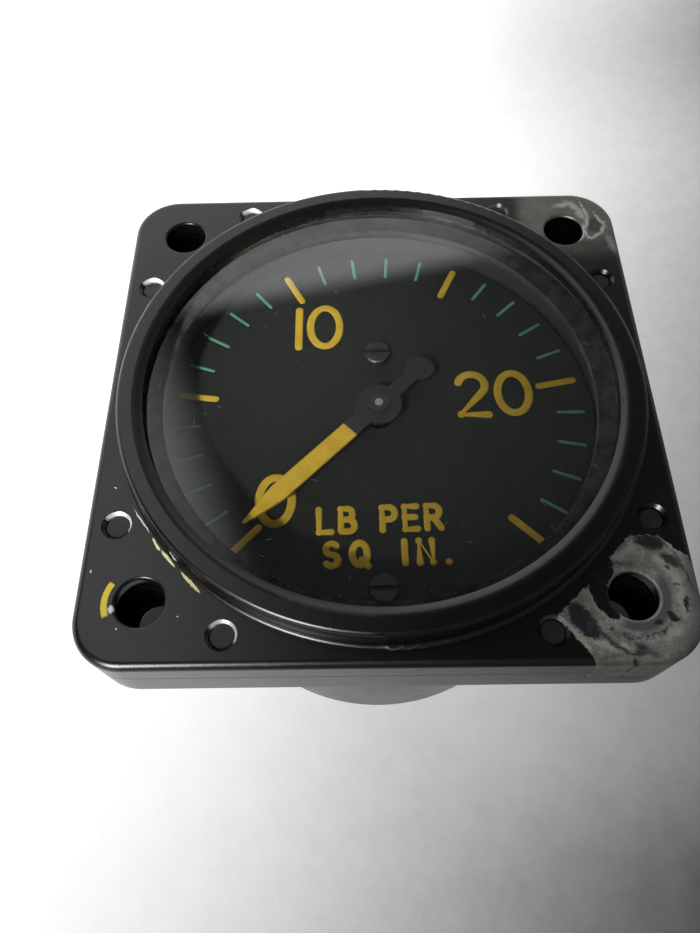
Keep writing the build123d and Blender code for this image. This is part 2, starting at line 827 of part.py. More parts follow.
# Tip of the tube: a cap brazed over its end, with a post and an arm up to the link
cap_start_angle = tube_end_angle + tip_grip_angle
cap_arc = tip_grip_angle + tip_end_wall
cap_middle_angle = cap_start_angle - cap_arc / 2
cap_top = tube_top + tip_wall
post_place = polar(tube_radius + tip_post_offset, cap_middle_angle)
slot_drop = polar(tail_sagitta / 2, link_angle - 90)
arm_start = (link_end[0] + slot_drop[0], link_end[1] + slot_drop[1])
arm_reach = math.dist(arm_start, post_place)
arm_turn = math.degrees(math.atan2(post_place[1] - arm_start[1], post_place[0] - arm_start[0]))
slot_travel = math.dist(link_end, link_end_full)
slot_turn = math.degrees(math.atan2(link_end_full[1] - link_end[1], link_end_full[0] - link_end[0]))
with BuildPart() as tube_tip:
    with BuildSketch(radial_plane(cap_start_angle)):
        with Locations((tube_radius, 0)):
            Rectangle(tube_thickness + 2 * tip_wall, tube_height + 2 * tip_wall)
    revolve(axis=Axis.Z, revolution_arc=-cap_arc)
    with BuildSketch(radial_plane(cap_start_angle)):
        with Locations((tube_radius, 0)):
            SlotOverall(tube_height + 2 * braze_gap, tube_thickness + 2 * braze_gap, rotation=90)
    revolve(axis=Axis.Z, revolution_arc=-tip_grip_angle, mode=Mode.SUBTRACT)
    with BuildSketch(Plane.XY.offset(cap_top)):
        with Locations(post_place):
            Circle(tip_post_radius)
    extrude(amount=arm_back - cap_top)
    with BuildSketch(Plane.XY.offset(arm_back)):
        with Locations(polar(arm_reach / 2, arm_turn, arm_start)):
            SlotCenterToCenter(arm_reach, tip_arm_width, rotation=arm_turn)
        with Locations(polar(slot_travel / 2, slot_turn, arm_start)):
            slot_width = 2 * (pin_radius + tail_sagitta / 2 + tip_slot_clearance)
            SlotCenterToCenter(slot_travel, slot_width, rotation=slot_turn, mode=Mode.SUBTRACT)
    extrude(amount=tip_arm_thickness)
keep(tube_tip.part, "tube_tip")

# Pressure socket: foot, column, port and the passage to the tube
foot_length = foot_inner_y - socket_outer_y
column_length = column_inner_y - socket_outer_y
port_top = case_rear + port_boss_recess + port_depth
passage_end = polar(tube_radius, tube_root_angle)
passage_length = math.dist((0, passage_y), passage_end)
passage_plane = Plane(
    origin=(0, passage_y, tube_middle),
    z_dir=(passage_end[0], passage_end[1] - passage_y, 0),
)
with BuildPart() as pressure_socket:
    with BuildSketch(Plane.XY.offset(case_floor)):
        with Locations((0, (foot_inner_y + socket_outer_y) / 2)):
            RectangleRounded(2 * foot_half_width, foot_length, socket_edge_radius)
    extrude(amount=foot_thickness)
    with BuildSketch(Plane.XY.offset(foot_face)):
        with Locations((0, (column_inner_y + socket_outer_y) / 2)):
            RectangleRounded(2 * column_half_width, column_length, socket_edge_radius)
    extrude(amount=rear_plate_back - foot_face)
    with BuildSketch(Plane.XY.offset(case_rear + port_boss_recess)):
        with Locations((0, port_y)):
            Circle(port_boss_radius)
    extrude(amount=rear_wall - port_boss_recess)
    with BuildSketch(Plane.XY.offset(case_rear + port_boss_recess)):
        with Locations((0, port_y)):
            Circle(port_radius)
    extrude(amount=port_depth, mode=Mode.SUBTRACT)
    port_rims = pressure_socket.edges().filter_by(GeomType.CIRCLE).group_by(Axis.Z)[0]
    chamfer(port_rims.sort_by(SortBy.RADIUS)[0], port_chamfer)
    with BuildSketch(Plane.XY.offset(case_floor)):
        with Locations((0, port_y)):
            Circle(port_seal_radius + seal_width)
            Circle(port_seal_radius, mode=Mode.SUBTRACT)
    extrude(amount=seal_depth, mode=Mode.SUBTRACT)
    with BuildSketch(Plane.XY.offset(port_top)):
        with Locations((0, passage_y)):
            Circle(passage_radius)
    extrude(amount=tube_middle - port_top, mode=Mode.SUBTRACT)
    with BuildSketch(passage_plane):
        Circle(passage_radius)
    extrude(amount=passage_length, mode=Mode.SUBTRACT)
    with BuildSketch(radial_plane(tube_root_angle)):
        with Locations((tube_radius, 0)):
            SlotOverall(tube_height + 2 * braze_gap, tube_thickness + 2 * braze_gap, rotation=90)
    revolve(axis=Axis.Z, revolution_arc=-tube_arc, mode=Mode.SUBTRACT)
    for x, y in socket_screw_places:
        with Locations((x, y, case_floor)):
            Hole(socket_screw_radius + thread_clearance, depth=socket_screw_length - rear_wall)
    for x, y in movement_screw_places:
        with Locations((x, y, rear_plate_back)):
            Hole(movement_screw_radius + thread_clearance, depth=movement_screw_length - plate_thickness)
keep(pressure_socket.part, "pressure_socket")

with BuildPart() as port_seal:
    with BuildSketch(Plane.XY.offset(case_floor)):
        with Locations((0, port_y)):
            Circle(port_seal_radius + seal_width - seal_clearance)
            Circle(port_seal_radius + seal_clearance, mode=Mode.SUBTRACT)
    extrude(amount=seal_depth)
keep(port_seal.part, "port_seal")

socket_screw = countersunk_screw(
    socket_screw_head_radius,
    socket_screw_radius,
    socket_screw_length - screw_clearance,
    socket_screw_tip_chamfer,
)
with BuildPart() as socket_screws:
    with Locations(*[(x, y, case_rear) for x, y in socket_screw_places]):
        add(socket_screw)
keep(socket_screws.part, "socket_screws")

movement_screw = cheese_head_screw(
    plate_screw_head_radius,
    plate_screw_head_height,
    movement_screw_radius,
    movement_screw_length - screw_clearance,
    plate_screw_slot_width,
    plate_screw_slot_depth,
)
with BuildPart() as movement_screws:
    with Locations(*[(x, y, rear_plate_face) for x, y in movement_screw_places]):
        add(movement_screw)
keep(movement_screws.part, "movement_screws")

# Hairspring on its collet, its outer end at a stud
spring_gain = (spring_outer_radius - spring_inner_radius) / spring_turns
spring_steps = range(spring_turns * spring_steps_per_turn + 1)


def spiral_point(step, side):
    """A point on one side of the flat spiral; side is -1 inside and 1 outside."""
    turns = step / spring_steps_per_turn
    radius = spring_inner_radius + spring_gain * turns + side * spring_strip / 2
    return polar(radius, 360 * turns)


with BuildPart() as hairspring:
    with BuildSketch(Plane.XY.offset(-spring_depth - spring_height)):
        with BuildLine():
            outer_side = [spiral_point(step, 1) for step in spring_steps]
            inner_side = [spiral_point(step, -1) for step in reversed(spring_steps)]
            Polyline(*outer_side, *inner_side, close=True)
        make_face()
    extrude(amount=spring_height)
keep(hairspring.part, "hairspring")

collet_rear = -spring_depth - (spring_height + collet_height) / 2
hairspring_collet = plain_ring(
    staff_radius + fixed_clearance,
    collet_radius,
    collet_rear,
    collet_rear + collet_height,
)
keep(hairspring_collet, "hairspring_collet")

with BuildPart() as hairspring_stud:
    with BuildSketch(Plane.XY.offset(rear_plate_back)):
        with Locations((spring_outer_radius + spring_strip + stud_radius, 0)):
            Circle(stud_radius)
    extrude(amount=-spring_depth + spring_strip - rear_plate_back)
keep(hairspring_stud.part, "hairspring_stud")

# Pins that stop the sector at each end of its swing
with BuildPart() as stop_pins:
    with BuildSketch(Plane.XY.offset(rear_plate_back)):
        with Locations(*stop_pin_places):
            Circle(stop_pin_radius)
    extrude(amount=sector_face + stop_pin_proud - rear_plate_back)
keep(stop_pins.part, "stop_pins")
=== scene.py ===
"""Looks of a square-flanged panel pressure gauge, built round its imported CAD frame.

Lengths are metres unless a name ends in _mm. The origin is the centre of the flange's front
face, +Z points out of the dial and +Y to the dial's top, as in the CAD model.
"""

import json
import logging
import math
import random
from dataclasses import dataclass
from enum import Enum
from typing import Any, Callable, Dict, Iterable, List, Optional, Sequence, Tuple, Union

import bmesh
import bpy
from mathutils import Matrix, Vector


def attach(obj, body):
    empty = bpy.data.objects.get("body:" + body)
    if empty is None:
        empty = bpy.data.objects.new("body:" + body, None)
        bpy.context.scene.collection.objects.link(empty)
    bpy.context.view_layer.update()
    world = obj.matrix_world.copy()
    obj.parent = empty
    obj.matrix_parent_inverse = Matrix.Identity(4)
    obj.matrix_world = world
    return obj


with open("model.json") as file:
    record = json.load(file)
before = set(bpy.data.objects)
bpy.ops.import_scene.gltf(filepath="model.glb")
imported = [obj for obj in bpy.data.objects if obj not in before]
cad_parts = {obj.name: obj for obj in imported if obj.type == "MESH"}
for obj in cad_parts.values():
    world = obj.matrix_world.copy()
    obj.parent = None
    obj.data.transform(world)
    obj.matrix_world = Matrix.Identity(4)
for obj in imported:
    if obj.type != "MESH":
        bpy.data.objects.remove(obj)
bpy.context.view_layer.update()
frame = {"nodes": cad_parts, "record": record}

LOG = logging.getLogger("gauge")
MM = 0.001
GAUGE = "gauge"
SEEN_RAYS = ("Is Camera Ray", "Is Glossy Ray", "Is Transmission Ray")
LIGHTING_RAYS = ("Is Shadow Ray", "Is Diffuse Ray")

Colour = Tuple[float, float, float]
Point = Tuple[float, float]
Way = Tuple[float, float, float]
Form = bmesh.types.BMesh


def operator(operation: str, reflected: bool = False) -> Callable[["Shade", Any], "Shade"]:
    """Makes an operator that adds a Math node.

    Args:
        operation: the node's operation.
        reflected: whether the shade is the second of the two values.

    Returns:
        The operator, a method of Shade.
    """

    def method(shade: "Shade", other: Any) -> "Shade":
        """Adds the node."""
        return shade.math(operation, *((other, shade) if reflected else (shade, other)))

    return method


class Shade:
    """A socket of a shader graph, on which arithmetic adds Math nodes.

    | is the larger of two masks and & the smaller.
    """

    __add__ = __radd__ = operator("ADD")
    __mul__ = __rmul__ = operator("MULTIPLY")
    __sub__, __rsub__ = operator("SUBTRACT"), operator("SUBTRACT", True)
    __truediv__, __rtruediv__ = operator("DIVIDE"), operator("DIVIDE", True)
    __or__, __and__ = operator("MAXIMUM"), operator("MINIMUM")

    def __init__(self, graph: "Graph", socket: bpy.types.NodeSocket) -> None:
        """Keeps the socket and the graph that it is in."""
        self.graph = graph
        self.socket = socket

    def math(self, operation: str, *values: Any) -> "Shade":
        """Adds a Math node.

        Args:
            operation: the node's operation.
            values: its inputs, in order.

        Returns:
            The node's result.
        """
        return self.graph.add("ShaderNodeMath", {"operation": operation}, values)

    def size(self) -> "Shade":
        """The value without its sign."""
        return self.math("ABSOLUTE", self)

    def above(self, level: float, soft: float) -> "Shade":
        """A mask that rises smoothly from 0 to 1.

        Args:
            level: the value at which it is a half.
            soft: half the width of the rise.

        Returns:
            The mask.
        """
        return self.graph.add(
            "ShaderNodeMapRange",
            {"interpolation_type": "SMOOTHSTEP"},
            {"Value": self, "From Min": level - soft, "From Max": level + soft},
        )

    def below(self, level: float, soft: float) -> "Shade":
        """A mask that falls smoothly from 1 to 0 at a level."""
        return 1 - self.above(level, soft)


Operand = Union[Shade, float, int, Sequence[float]]
Settings = Optional[Dict[str, Any]]
Sockets = Union[Sequence[Operand], Dict[str, Operand], None]
Place = Tuple[Shade, Shade, Shade]


class Graph:
    """The node graph of a material or a world."""

    def __init__(self, tree: bpy.types.NodeTree) -> None:
        """Takes over an emptied node tree."""
        self.tree = tree

    def node(
        self, kind: str, settings: Settings = None, sockets: Sockets = None
    ) -> bpy.types.Node:
        """Adds a node.

        Args:
            kind: the node's type.
            settings: its properties, set first.
            sockets: values or links of its inputs, by place or by name.

        Returns:
            The node.
        """
        made = self.tree.nodes.new(kind)
        for name, value in (settings or {}).items():
            setattr(made, name, value)
        pairs = sockets.items() if isinstance(sockets, dict) else enumerate(sockets or ())
        for key, value in pairs:
            self.feed(made.inputs[key], value)
        return made

    def add(
        self, kind: str, settings: Settings = None, sockets: Sockets = None, output: Any = 0
    ) -> Shade:
        """Adds a node and returns one of its outputs."""
        return Shade(self, self.node(kind, settings, sockets).outputs[output])

    def feed(self, socket: bpy.types.NodeSocket, value: Operand) -> None:
        """Sets or links an input.

        Args:
            socket: the input.
            value: a shade to link, or the value to set.
        """
        if isinstance(value, Shade):
            self.tree.links.new(value.socket, socket)
        elif hasattr(value, "__len__") and socket.type == "RGBA" and len(value) == 3:
            socket.default_value = (*value, 1.0)
        else:
            socket.default_value = value

    def place_mm(self) -> Place:
        """The object coordinates x, y and z in millimetres."""
        spot = self.add("ShaderNodeTexCoord", output="Object")
        sockets = {"Vector": spot, "Scale": 1 / MM}
        scaled = self.add("ShaderNodeVectorMath", {"operation": "SCALE"}, sockets)
        split = self.node("ShaderNodeSeparateXYZ", None, [scaled])
        return tuple(Shade(self, output) for output in split.outputs)

    def noise(
        self, per_mm: float, detail: float = 2.0, rough: float = 0.5, seed: float = 0.0
    ) -> Shade:
        """Noise over the object.

        Args:
            per_mm: its scale, in waves per millimetre.
            detail: octaves.
            rough: share of the finer octaves.
            seed: moves the pattern.

        Returns:
            The noise, from 0 to 1 and mostly near 0.5.
        """
        spot = self.add("ShaderNodeTexCoord", output="Object")
        away = (seed, seed * 0.7, -seed)
        moved = self.add("ShaderNodeMapping", None, {"Vector": spot, "Location": away})
        sockets = {"Vector": moved, "Scale": per_mm * 1000, "Detail": detail, "Roughness": rough}
        return self.add("ShaderNodeTexNoise", None, sockets)

    def mix(self, share: Operand, first: Operand, second: Operand) -> Shade:
        """A mix of two colours, all first at share 0 and all second at share 1."""
        made = self.node("ShaderNodeMix", {"data_type": "RGBA"})
        inputs = {socket.identifier: socket for socket in made.inputs}
        for name, value in (("Factor_Float", share), ("A_Color", first), ("B_Color", second)):
            self.feed(inputs[name], value)
        return Shade(self, next(s for s in made.outputs if s.identifier == "Result_Color"))

    def bump(self, height: Shade, depth_mm: float, strength: float = 1.0) -> Shade:
        """A normal bent by a height map.

        Args:
            height: the map, from 0 to 1.
            depth_mm: its depth.
            strength: how much of it shows.

        Returns:
            The normal.
        """
        sockets = {"Height": height, "Distance": depth_mm * MM, "Strength": strength}
        return self.add("ShaderNodeBump", None, sockets)

    def principled(
        self, colour: Operand, rough: Operand, normal: Shade, metal: Operand = 0.0, ior: float = 1.5
    ) -> Shade:
        """Adds a Principled shader, from its most used sockets."""
        sockets = {"Base Color": colour, "Roughness": rough, "Metallic": metal, "IOR": ior}
        return self.add("ShaderNodeBsdfPrincipled", None, {**sockets, "Normal": normal})

    def either(self, share: Shade, first: Shade, second: Shade) -> Shade:
        """A mix of two shaders, all first at share 0 and all second at share 1."""
        return self.add("ShaderNodeMixShader", None, [share, first, second])

    def ray_is(self, kinds: Sequence[str]) -> Shade:
        """1 where the ray that arrives is of one of several kinds, and else 0."""
        path = self.node("ShaderNodeLightPath")
        return any_of(Shade(self, path.outputs[kind]) for kind in kinds)


@dataclass(frozen=True)
class Finish:
    """A finish, which makes one material."""

    name: str

    def material(self) -> bpy.types.Material:
        """Makes the material.

        Returns:
            The material, with its shader wired by paint().
        """
        made = bpy.data.materials.new(self.name)
        made.use_nodes = True
        tree = made.node_tree
        tree.nodes.clear()
        graph = Graph(tree)
        shader = self.paint(graph)
        output = tree.nodes.new("ShaderNodeOutputMaterial")
        tree.links.new(shader.socket, output.inputs["Surface"])
        return made

    def paint(self, graph: Graph) -> Shade:
        """Wires the shader and returns its output."""
        raise NotImplementedError


def elliptic(x: Shade, y: Shade, centre: Point, radii: Point, turn: float = 0.0) -> Shade:
    """How far a spot is from a centre, counted in an ellipse's radii.

    Args:
        x: the spot's x.
        y: the spot's y.
        centre: the ellipse's centre.
        radii: its two radii.
        turn: its turn in degrees, anticlockwise.

    Returns:
        0 at the centre and 1 on the ellipse.
    """
    graph = x.graph
    sockets = {
        "Vector": graph.add("ShaderNodeCombineXYZ", None, [x, y]),
        "Location": (*centre, 0.0),
        "Rotation": (0.0, 0.0, math.radians(turn)),
        "Scale": (*radii, 1.0),
    }
    local = graph.add("ShaderNodeMapping", {"vector_type": "TEXTURE"}, sockets)
    return graph.add("ShaderNodeVectorMath", {"operation": "LENGTH"}, [local], "Value")


def reach(x: Shade, y: Shade, centre: Point = (0.0, 0.0)) -> Shade:
    """How far a spot is from a centre, in millimetres."""
    return elliptic(x, y, centre, (1.0, 1.0))


def line_gap(x: Shade, y: Shade, points: Sequence[Point], half: float) -> Shade:
    """How far a spot is from a line of beads strung through several points.

    Args:
        x: the spot's x.
        y: the spot's y.
        points: the line's points.
        half: half the line's width.

    Returns:
        0 in the line's middle and half on its edge.
    """
    nearest = None
    for (ax, ay), (bx, by) in zip(points, points[1:]):
        length = math.hypot(bx - ax, by - ay)
        turn = math.degrees(math.atan2(by - ay, bx - ax))
        middle = ((ax + bx) / 2, (ay + by) / 2)
        bead = elliptic(x, y, middle, (length * 0.62 + half * 0.7, half), turn)
        nearest = bead if nearest is None else nearest & bead
    return nearest * half


def frayed(value: Shade, span: float, *noise: float) -> Shade:
    """A value moved to and fro by noise, by half a span at most."""
    return value + (value.graph.noise(*noise) - 0.5) * span


def any_of(masks: Iterable[Shade]) -> Shade:
    """The largest of several masks, each made just before it is used."""
    joined = None
    for mask in masks:
        joined = mask if joined is None else joined | mask
    return joined


@dataclass(frozen=True)
class Layer:
    """A thin layer: its colour, its roughness and how metallic it is."""

    colour: Operand
    rough: float
    metal: float = 0.0


@dataclass
class Coat:
    """How the spots of a painted surface look, one shade for each input of the shader."""

    place: Place
    colour: Operand
    rough: Operand
    metal: Operand
    height: Operand
    bump_mm: float = 0.05

    @property
    def graph(self) -> Graph:
        """The material's graph."""
        return self.place[0].graph

    def over(self, mask: Shade, layer: Layer, rise: Operand = 0) -> "Coat":
        """Lays a layer over the coat.

        Args:
            mask: where the layer lies.
            layer: the layer.
            rise: how much higher it lies in the height map.

        Returns:
            The coat with the layer on it.
        """
        return Coat(
            self.place,
            self.graph.mix(mask, self.colour, layer.colour),
            self.rough + mask * (layer.rough - self.rough),
            self.metal + mask * (layer.metal - self.metal),
            self.height if rise == 0 else self.height + mask * rise,
        )

    def shader(self) -> Shade:
        """Wires the coat into a shader and returns its output."""
        normal = self.graph.bump(self.height, self.bump_mm)
        return self.graph.principled(self.colour, self.rough, normal, self.metal)


FRAY_MM = 0.1


@dataclass(frozen=True)
class Streak:
    """A ragged band of a chipped corner, in millimetres on the flange's front."""

    points: Tuple[Point, ...]
    half: float
    soft: float = 0.1
    deep: float = 1.0

    def mask(self, x: Shade, y: Shade, jitter: Shade) -> Shade:
        """The band's mask, its edge frayed by a jitter."""
        gap = line_gap(x, y, self.points, self.half) + jitter * (self.half + FRAY_MM)
        return gap.below(self.half, self.soft) * self.deep


BRIGHT_PRIMER = (
    Streak(((17.2, -26.7), (17.8, -27.9), (18.7, -28.8)), 0.27),
    Streak(((28.0, -18.3), (28.9, -19.3), (29.6, -21.0)), 0.3),
    Streak(((26.8, -20.1), (27.9, -21.6), (28.4, -23.1), (28.2, -25.2)), 0.5, 0.3, 0.8),
    Streak(((19.8, -23.9), (21.0, -25.8), (22.7, -26.9)), 0.42, 0.25, 0.6),
    Streak(((22.3, -20.0), (24.2, -19.1), (24.9, -18.1)), 0.36, 0.25, 0.7),
    Streak(((23.8, -28.2), (25.6, -27.9), (27.4, -27.2)), 0.4, 0.25, 0.7),
    Streak(((19.3, -28.1), (20.8, -28.8), (22.4, -28.7)), 0.28, 0.15, 0.8),
)
PRIMER_NOTCH = ((21.5, -20.8), (20.2, -22.6), (21.3, -25.1))
PRIMER_MOTTLE = ((21.5, -27.4), (23.4, -28.1), (25.7, -27.5))
PRIMER_STAINS = (
    Streak(((17.9, -25.3), (19.2, -27.1)), 1.0, 0.15),
    Streak(((19.9, -27.2), (21.0, -28.5), (22.3, -29.3), (23.6, -29.4)), 0.22, 0.15, 0.9),
    Streak(((25.6, -18.0), (27.0, -18.5)), 0.85, 0.2),
    Streak(((27.5, -19.9), (28.3, -20.6)), 0.55, 0.2, 0.9),
    Streak(((22.2, -20.6), (23.8, -20.7)), 0.3, 0.3, 0.7),
    Streak(((28.7, -20.1), (29.5, -22.9)), 0.14, 0.12, 0.8),
    Streak(((28.7, -24.3), (28.5, -25.3)), 0.2),
    Streak(((27.5, -22.7), (28.4, -22.9)), 0.1, 0.08, 0.8),
    Streak(((26.8, -25.7), (27.2, -26.1)), 0.4, 0.12),
    Streak(((25.4, -26.5), (25.7, -26.4)), 0.22),
    Streak(((25.9, -27.3), (26.2, -27.2)), 0.2, 0.1, 0.9),
    Streak(((27.3, -20.9), (27.6, -21.1)), 0.16, 0.1, 0.9),
    Streak(((21.0, -27.1), (21.2, -27.0)), 0.16, 0.1, 0.9),
    Streak(((22.8, -30.0), (23.0, -30.1)), 0.28),
    Streak(((19.6, -29.6), (22.0, -29.6)), 0.22, 0.3, 0.6),
    Streak(((23.2, -28.7), (23.6, -28.9)), 0.35, 0.3, 0.8),
)
CRUST_HOOK = (
    *((26.6, 28.1), (27.1, 26.2), (26.6, 23.8), (26.6, 22.7), (27.3, 22.4), (28.3, 23.1)),
    *((29.0, 24.6), (28.1, 26.3)),
)
CRUST = (
    Streak(CRUST_HOOK, 0.2, 0.12),
    Streak(((23.7, 28.0), (25.0, 28.4), (26.1, 27.2), (26.6, 25.8)), 0.42, 0.25, 0.75),
    Streak(((26.45, 24.6), (26.15, 22.9), (25.4, 22.1)), 0.2, 0.08),
    Streak(((29.2, 22.3), (29.6, 20.5)), 0.5, 0.3, 0.4),
)

Lens = Tuple[Point, Point, float]
YELLOW_LENSES: Tuple[Lens, ...] = (
    ((-22.85, -17.85), (0.78, 0.14), -57),
    ((-21.5, -19.4), (1.15, 0.15), -49),
    ((-19.05, -21.9), (1.45, 0.16), -46),
)
WHITE_SPECKS: Tuple[Lens, ...] = (
    ((-24.6, -15.3), (1.5, 0.07), -54),
    ((-26.5, -24.5), (0.3, 0.4), 0),
    ((-21.0, -19.2), (0.6, 0.05), -49),
    ((-27.85, -11.4), (0.1, 0.1), 0),
    ((-29.0, -20.6), (0.1, 0.13), 0),
    ((-25.7, -26.4), (0.1, 0.1), 0),
    ((-20.0, -25.3), (0.1, 0.1), 0),
)


def nearest_of(x: Shade, y: Shade, lenses: Sequence[Lens]) -> Shade:
    """The least of a spot's elliptic distances to several lens shapes."""
    nearest = elliptic(x, y, *lenses[0])
    for lens in lenses[1:]:
        nearest = nearest & elliptic(x, y, *lens)
    return nearest


SEAM = Layer((0.002, 0.002, 0.002), 0.6)
# bare metal with a painted highlight, for the lit side of the small holes' mouths
MOUTH_METAL_AND_HIGHLIGHT = Layer((0.9, 0.92, 0.95), 0.4, 0.45)
# worn metal for nicks and the ring's edge, where it is partly a painted highlight
EDGE_WEAR_AND_HIGHLIGHT = Layer((0.3, 0.3, 0.29), 0.35, 0.7)
# painted reflection on the inner wall of the lower left panel hole
PAINTED_HOLE_GLINT = Layer((0.6, 0.62, 0.66), 0.5)
CRUST_SHADOW = Layer((0.05, 0.052, 0.05), 0.5, 0.2)
CRUST_WHITE = Layer((0.85, 0.85, 0.8), 0.8)
PRIMER_WHITE = Layer((0.9, 0.88, 0.76), 0.55)
WORN_PRIMER = Layer((0.22, 0.215, 0.225), 0.38, 0.35)
PAINT_FLAKES = Layer((0.3, 0.3, 0.27), 0.5)
WHITE_SMEAR = Layer((0.74, 0.74, 0.7), 0.6)


@dataclass(frozen=True)
class BlackPaint(Finish):
    """Semi-gloss black paint, worn at its edges and chipped at two corners."""

    black: Colour = (0.0042, 0.0044, 0.005)
    grey_dust: Colour = (0.08, 0.08, 0.075)
    gloss: float = 0.23
    seam_z: float = -3.7
    seam_depth: float = 0.8
    ring_radius: float = 28.3
    ring_height: float = 3.26
    hole_place: float = 23.81
    hole_radius: float = 2.42
    mouth_near: float = 15.67
    mouth_far: float = 27.14
    mouth_radius: float = 1.6
    primer_from: Point = (14.5, -16.5)
    metal_from: Point = (16.0, 17.0)
    crust_from: Point = (18.7, 19.6)
    crust_low_z: float = -3.4
    primer_reach: float = 29.75
    primer_top: float = -17.7
    primer_right: float = 9.6
    primer_low_z: float = -5.8
    rim_radius: float = 3.05
    corner_centre: float = 25.1
    corner_radius: float = 3.8
    smear_radius: float = 3.45

    def paint(self, graph: Graph) -> Shade:
        """Wires the paint, its dust, scuffs and chips."""
        x, y, z = place = graph.place_mm()
        fine = graph.noise(2.6, 3, 0.6, 2.0)
        speck = graph.noise(9.0, 2, 0.6, 1.0)
        cloud = graph.noise(0.12, 3, 0.5, 5.0)
        scuff = graph.noise(0.5, 5, 0.7, 14.0).above(0.6, 0.12) * 0.25
        dust = speck.above(0.74, 0.03) * 0.5
        colour = graph.mix(dust, self.black, self.grey_dust)
        rough = self.gloss + cloud * 0.08 + scuff * 0.15 + dust * 0.3
        coat = Coat(place, colour, rough, 0.0, fine * 0.05 + speck * 0.02)
        coat = self.wear(self.mouths(self.seam(coat)))
        plain = self.smears(coat).shader()
        primer = self.primer_corner(coat).shader()
        metal = self.metal_corner(coat).shader()
        in_primer = x.above(self.primer_from[0], 0.01) * y.below(self.primer_from[1], 0.01)
        in_metal = x.above(self.metal_from[0], 0.01) * y.above(self.metal_from[1], 0.01)
        return graph.either(in_metal, graph.either(in_primer, plain, primer), metal)

    def seam(self, coat: Coat) -> Coat:
        """Darkens and sinks the joint between the flange's two halves."""
        line = (coat.place[2] - self.seam_z).size().below(0.07, 0.05)
        return coat.over(line, SEAM, -self.seam_depth)

    def mouths(self, coat: Coat) -> Coat:
        """Bares the metal in the countersunk mouths of the small holes, on the side that faces the
        light, as a painted highlight.

        Args:
            coat: the coat so far.

        Returns:
            The coat with bright mouths, their painted highlight fading to painted shade on the
            right-hand ones.
        """
        x, y, z = coat.place
        to_right = x.above(0.0, 0.01) * 2 - 1
        to_top = y.above(0.0, 0.01) * 2 - 1
        inside, lean = [], []
        near, far = self.mouth_near, self.mouth_far
        for place_x, place_y in ((far, near), (near, far)):
            mouth = reach(x.size(), y.size(), (place_x, place_y)).below(self.mouth_radius, 0.02)
            inside.append(mouth)
            up = (x.size() - place_x) * to_right * 0.6 + (y.size() - place_y) * to_top
            lean.append(mouth * up)
        # painted highlight: the metal lies only on the side of each mouth that faces the light, and
        # fades to painted shade towards the right-hand holes
        upper = (lean[0] + lean[1]).above(0.12, 0.3)
        bare = (inside[0] | inside[1]) * z.below(-0.05, 0.03) * upper * x.below(4.0, 22.0)
        return coat.over(bare, MOUTH_METAL_AND_HIGHLIGHT)

    def wear(self, coat: Coat) -> Coat:
        """Wears the ring's outer edge, brightest on its upper half as a partly painted highlight,
        scatters small nicks and paints a glint inside the lower left panel hole.
        """
        x, y, z = coat.place
        graph = coat.graph
        crown = (reach(x, y) - self.ring_radius + 0.15).size().below(0.1, 0.07)
        # real edge wear, kept to the ring's upper half where its highlight shows: partly a painted
        # highlight
        edge = crown * (z - self.ring_height + 0.2).size().below(0.2, 0.1) * y.above(2.0, 8.0)
        edge = edge * graph.noise(0.35, 4, 0.6, 8.0).above(0.5, 0.07)
        patches = graph.noise(0.16, 1, 0.5, 13.0).above(0.52, 0.06)
        nicks = graph.noise(1.6, 3, 0.7, 12.0).above(0.79, 0.012) * patches
        coat = coat.over((edge | nicks) * 0.7, EDGE_WEAR_AND_HIGHLIGHT)
        # painted reflection: a light grey glint on the inner wall of the lower left panel hole
        painted_glint = elliptic(x, y, (-21.45, -23.5), (0.35, 0.75)).below(1.0, 0.4)
        return coat.over(painted_glint * (z + 1.6).size().below(0.8, 0.4), PAINTED_HOLE_GLINT)

    def metal_corner(self, coat: Coat) -> Coat:
        """Bares the upper right corner and crusts it with white corrosion.

        Args:
            coat: the coat so far.

        Returns:
            The coat with the bare corner in it.
        """
        x, y, z = coat.place
        graph = coat.graph
        grit = graph.noise(3.0, 5, 0.8, 4.0)
        blotch = graph.noise(0.45, 3, 0.5, 7.0)
        wx, wy = x + (blotch - 0.5) * 1.2, frayed(y, 1.2, 0.6, 4, 0.6, 9.0)
        hole = reach(x, y, (self.hole_place, self.hole_place))
        wall = hole.below(self.hole_radius + 0.12, 0.03) * z.below(-0.25, 0.08)
        bare = wx.above(self.crust_from[0], 1.2) * wy.above(self.crust_from[1], 1.4)
        bare = bare * z.above(self.crust_low_z, 0.4) * z.below(0.4, 0.2) * (1 - wall)
        tone = graph.mix(blotch.above(0.5, 0.3), (0.17, 0.168, 0.15), (0.25, 0.245, 0.22))
        coat = coat.over(bare * (0.45 + wy.above(22.0, 2.5) * 0.55), Layer(tone, 0.42, 0.5))
        dark = elliptic(wx, wy, (27.7, 24.5), (0.8, 1.2)).below(1.0, 0.3) * 0.7
        coat = coat.over(dark * bare, CRUST_SHADOW)
        jitter = (grit - 0.5) * 2.4
        light = any_of(streak.mask(wx, wy, jitter) for streak in CRUST) * grit.above(0.42, 0.09)
        return coat.over(light * z.above(-0.3, 0.12) * (1 - wall), CRUST_WHITE)

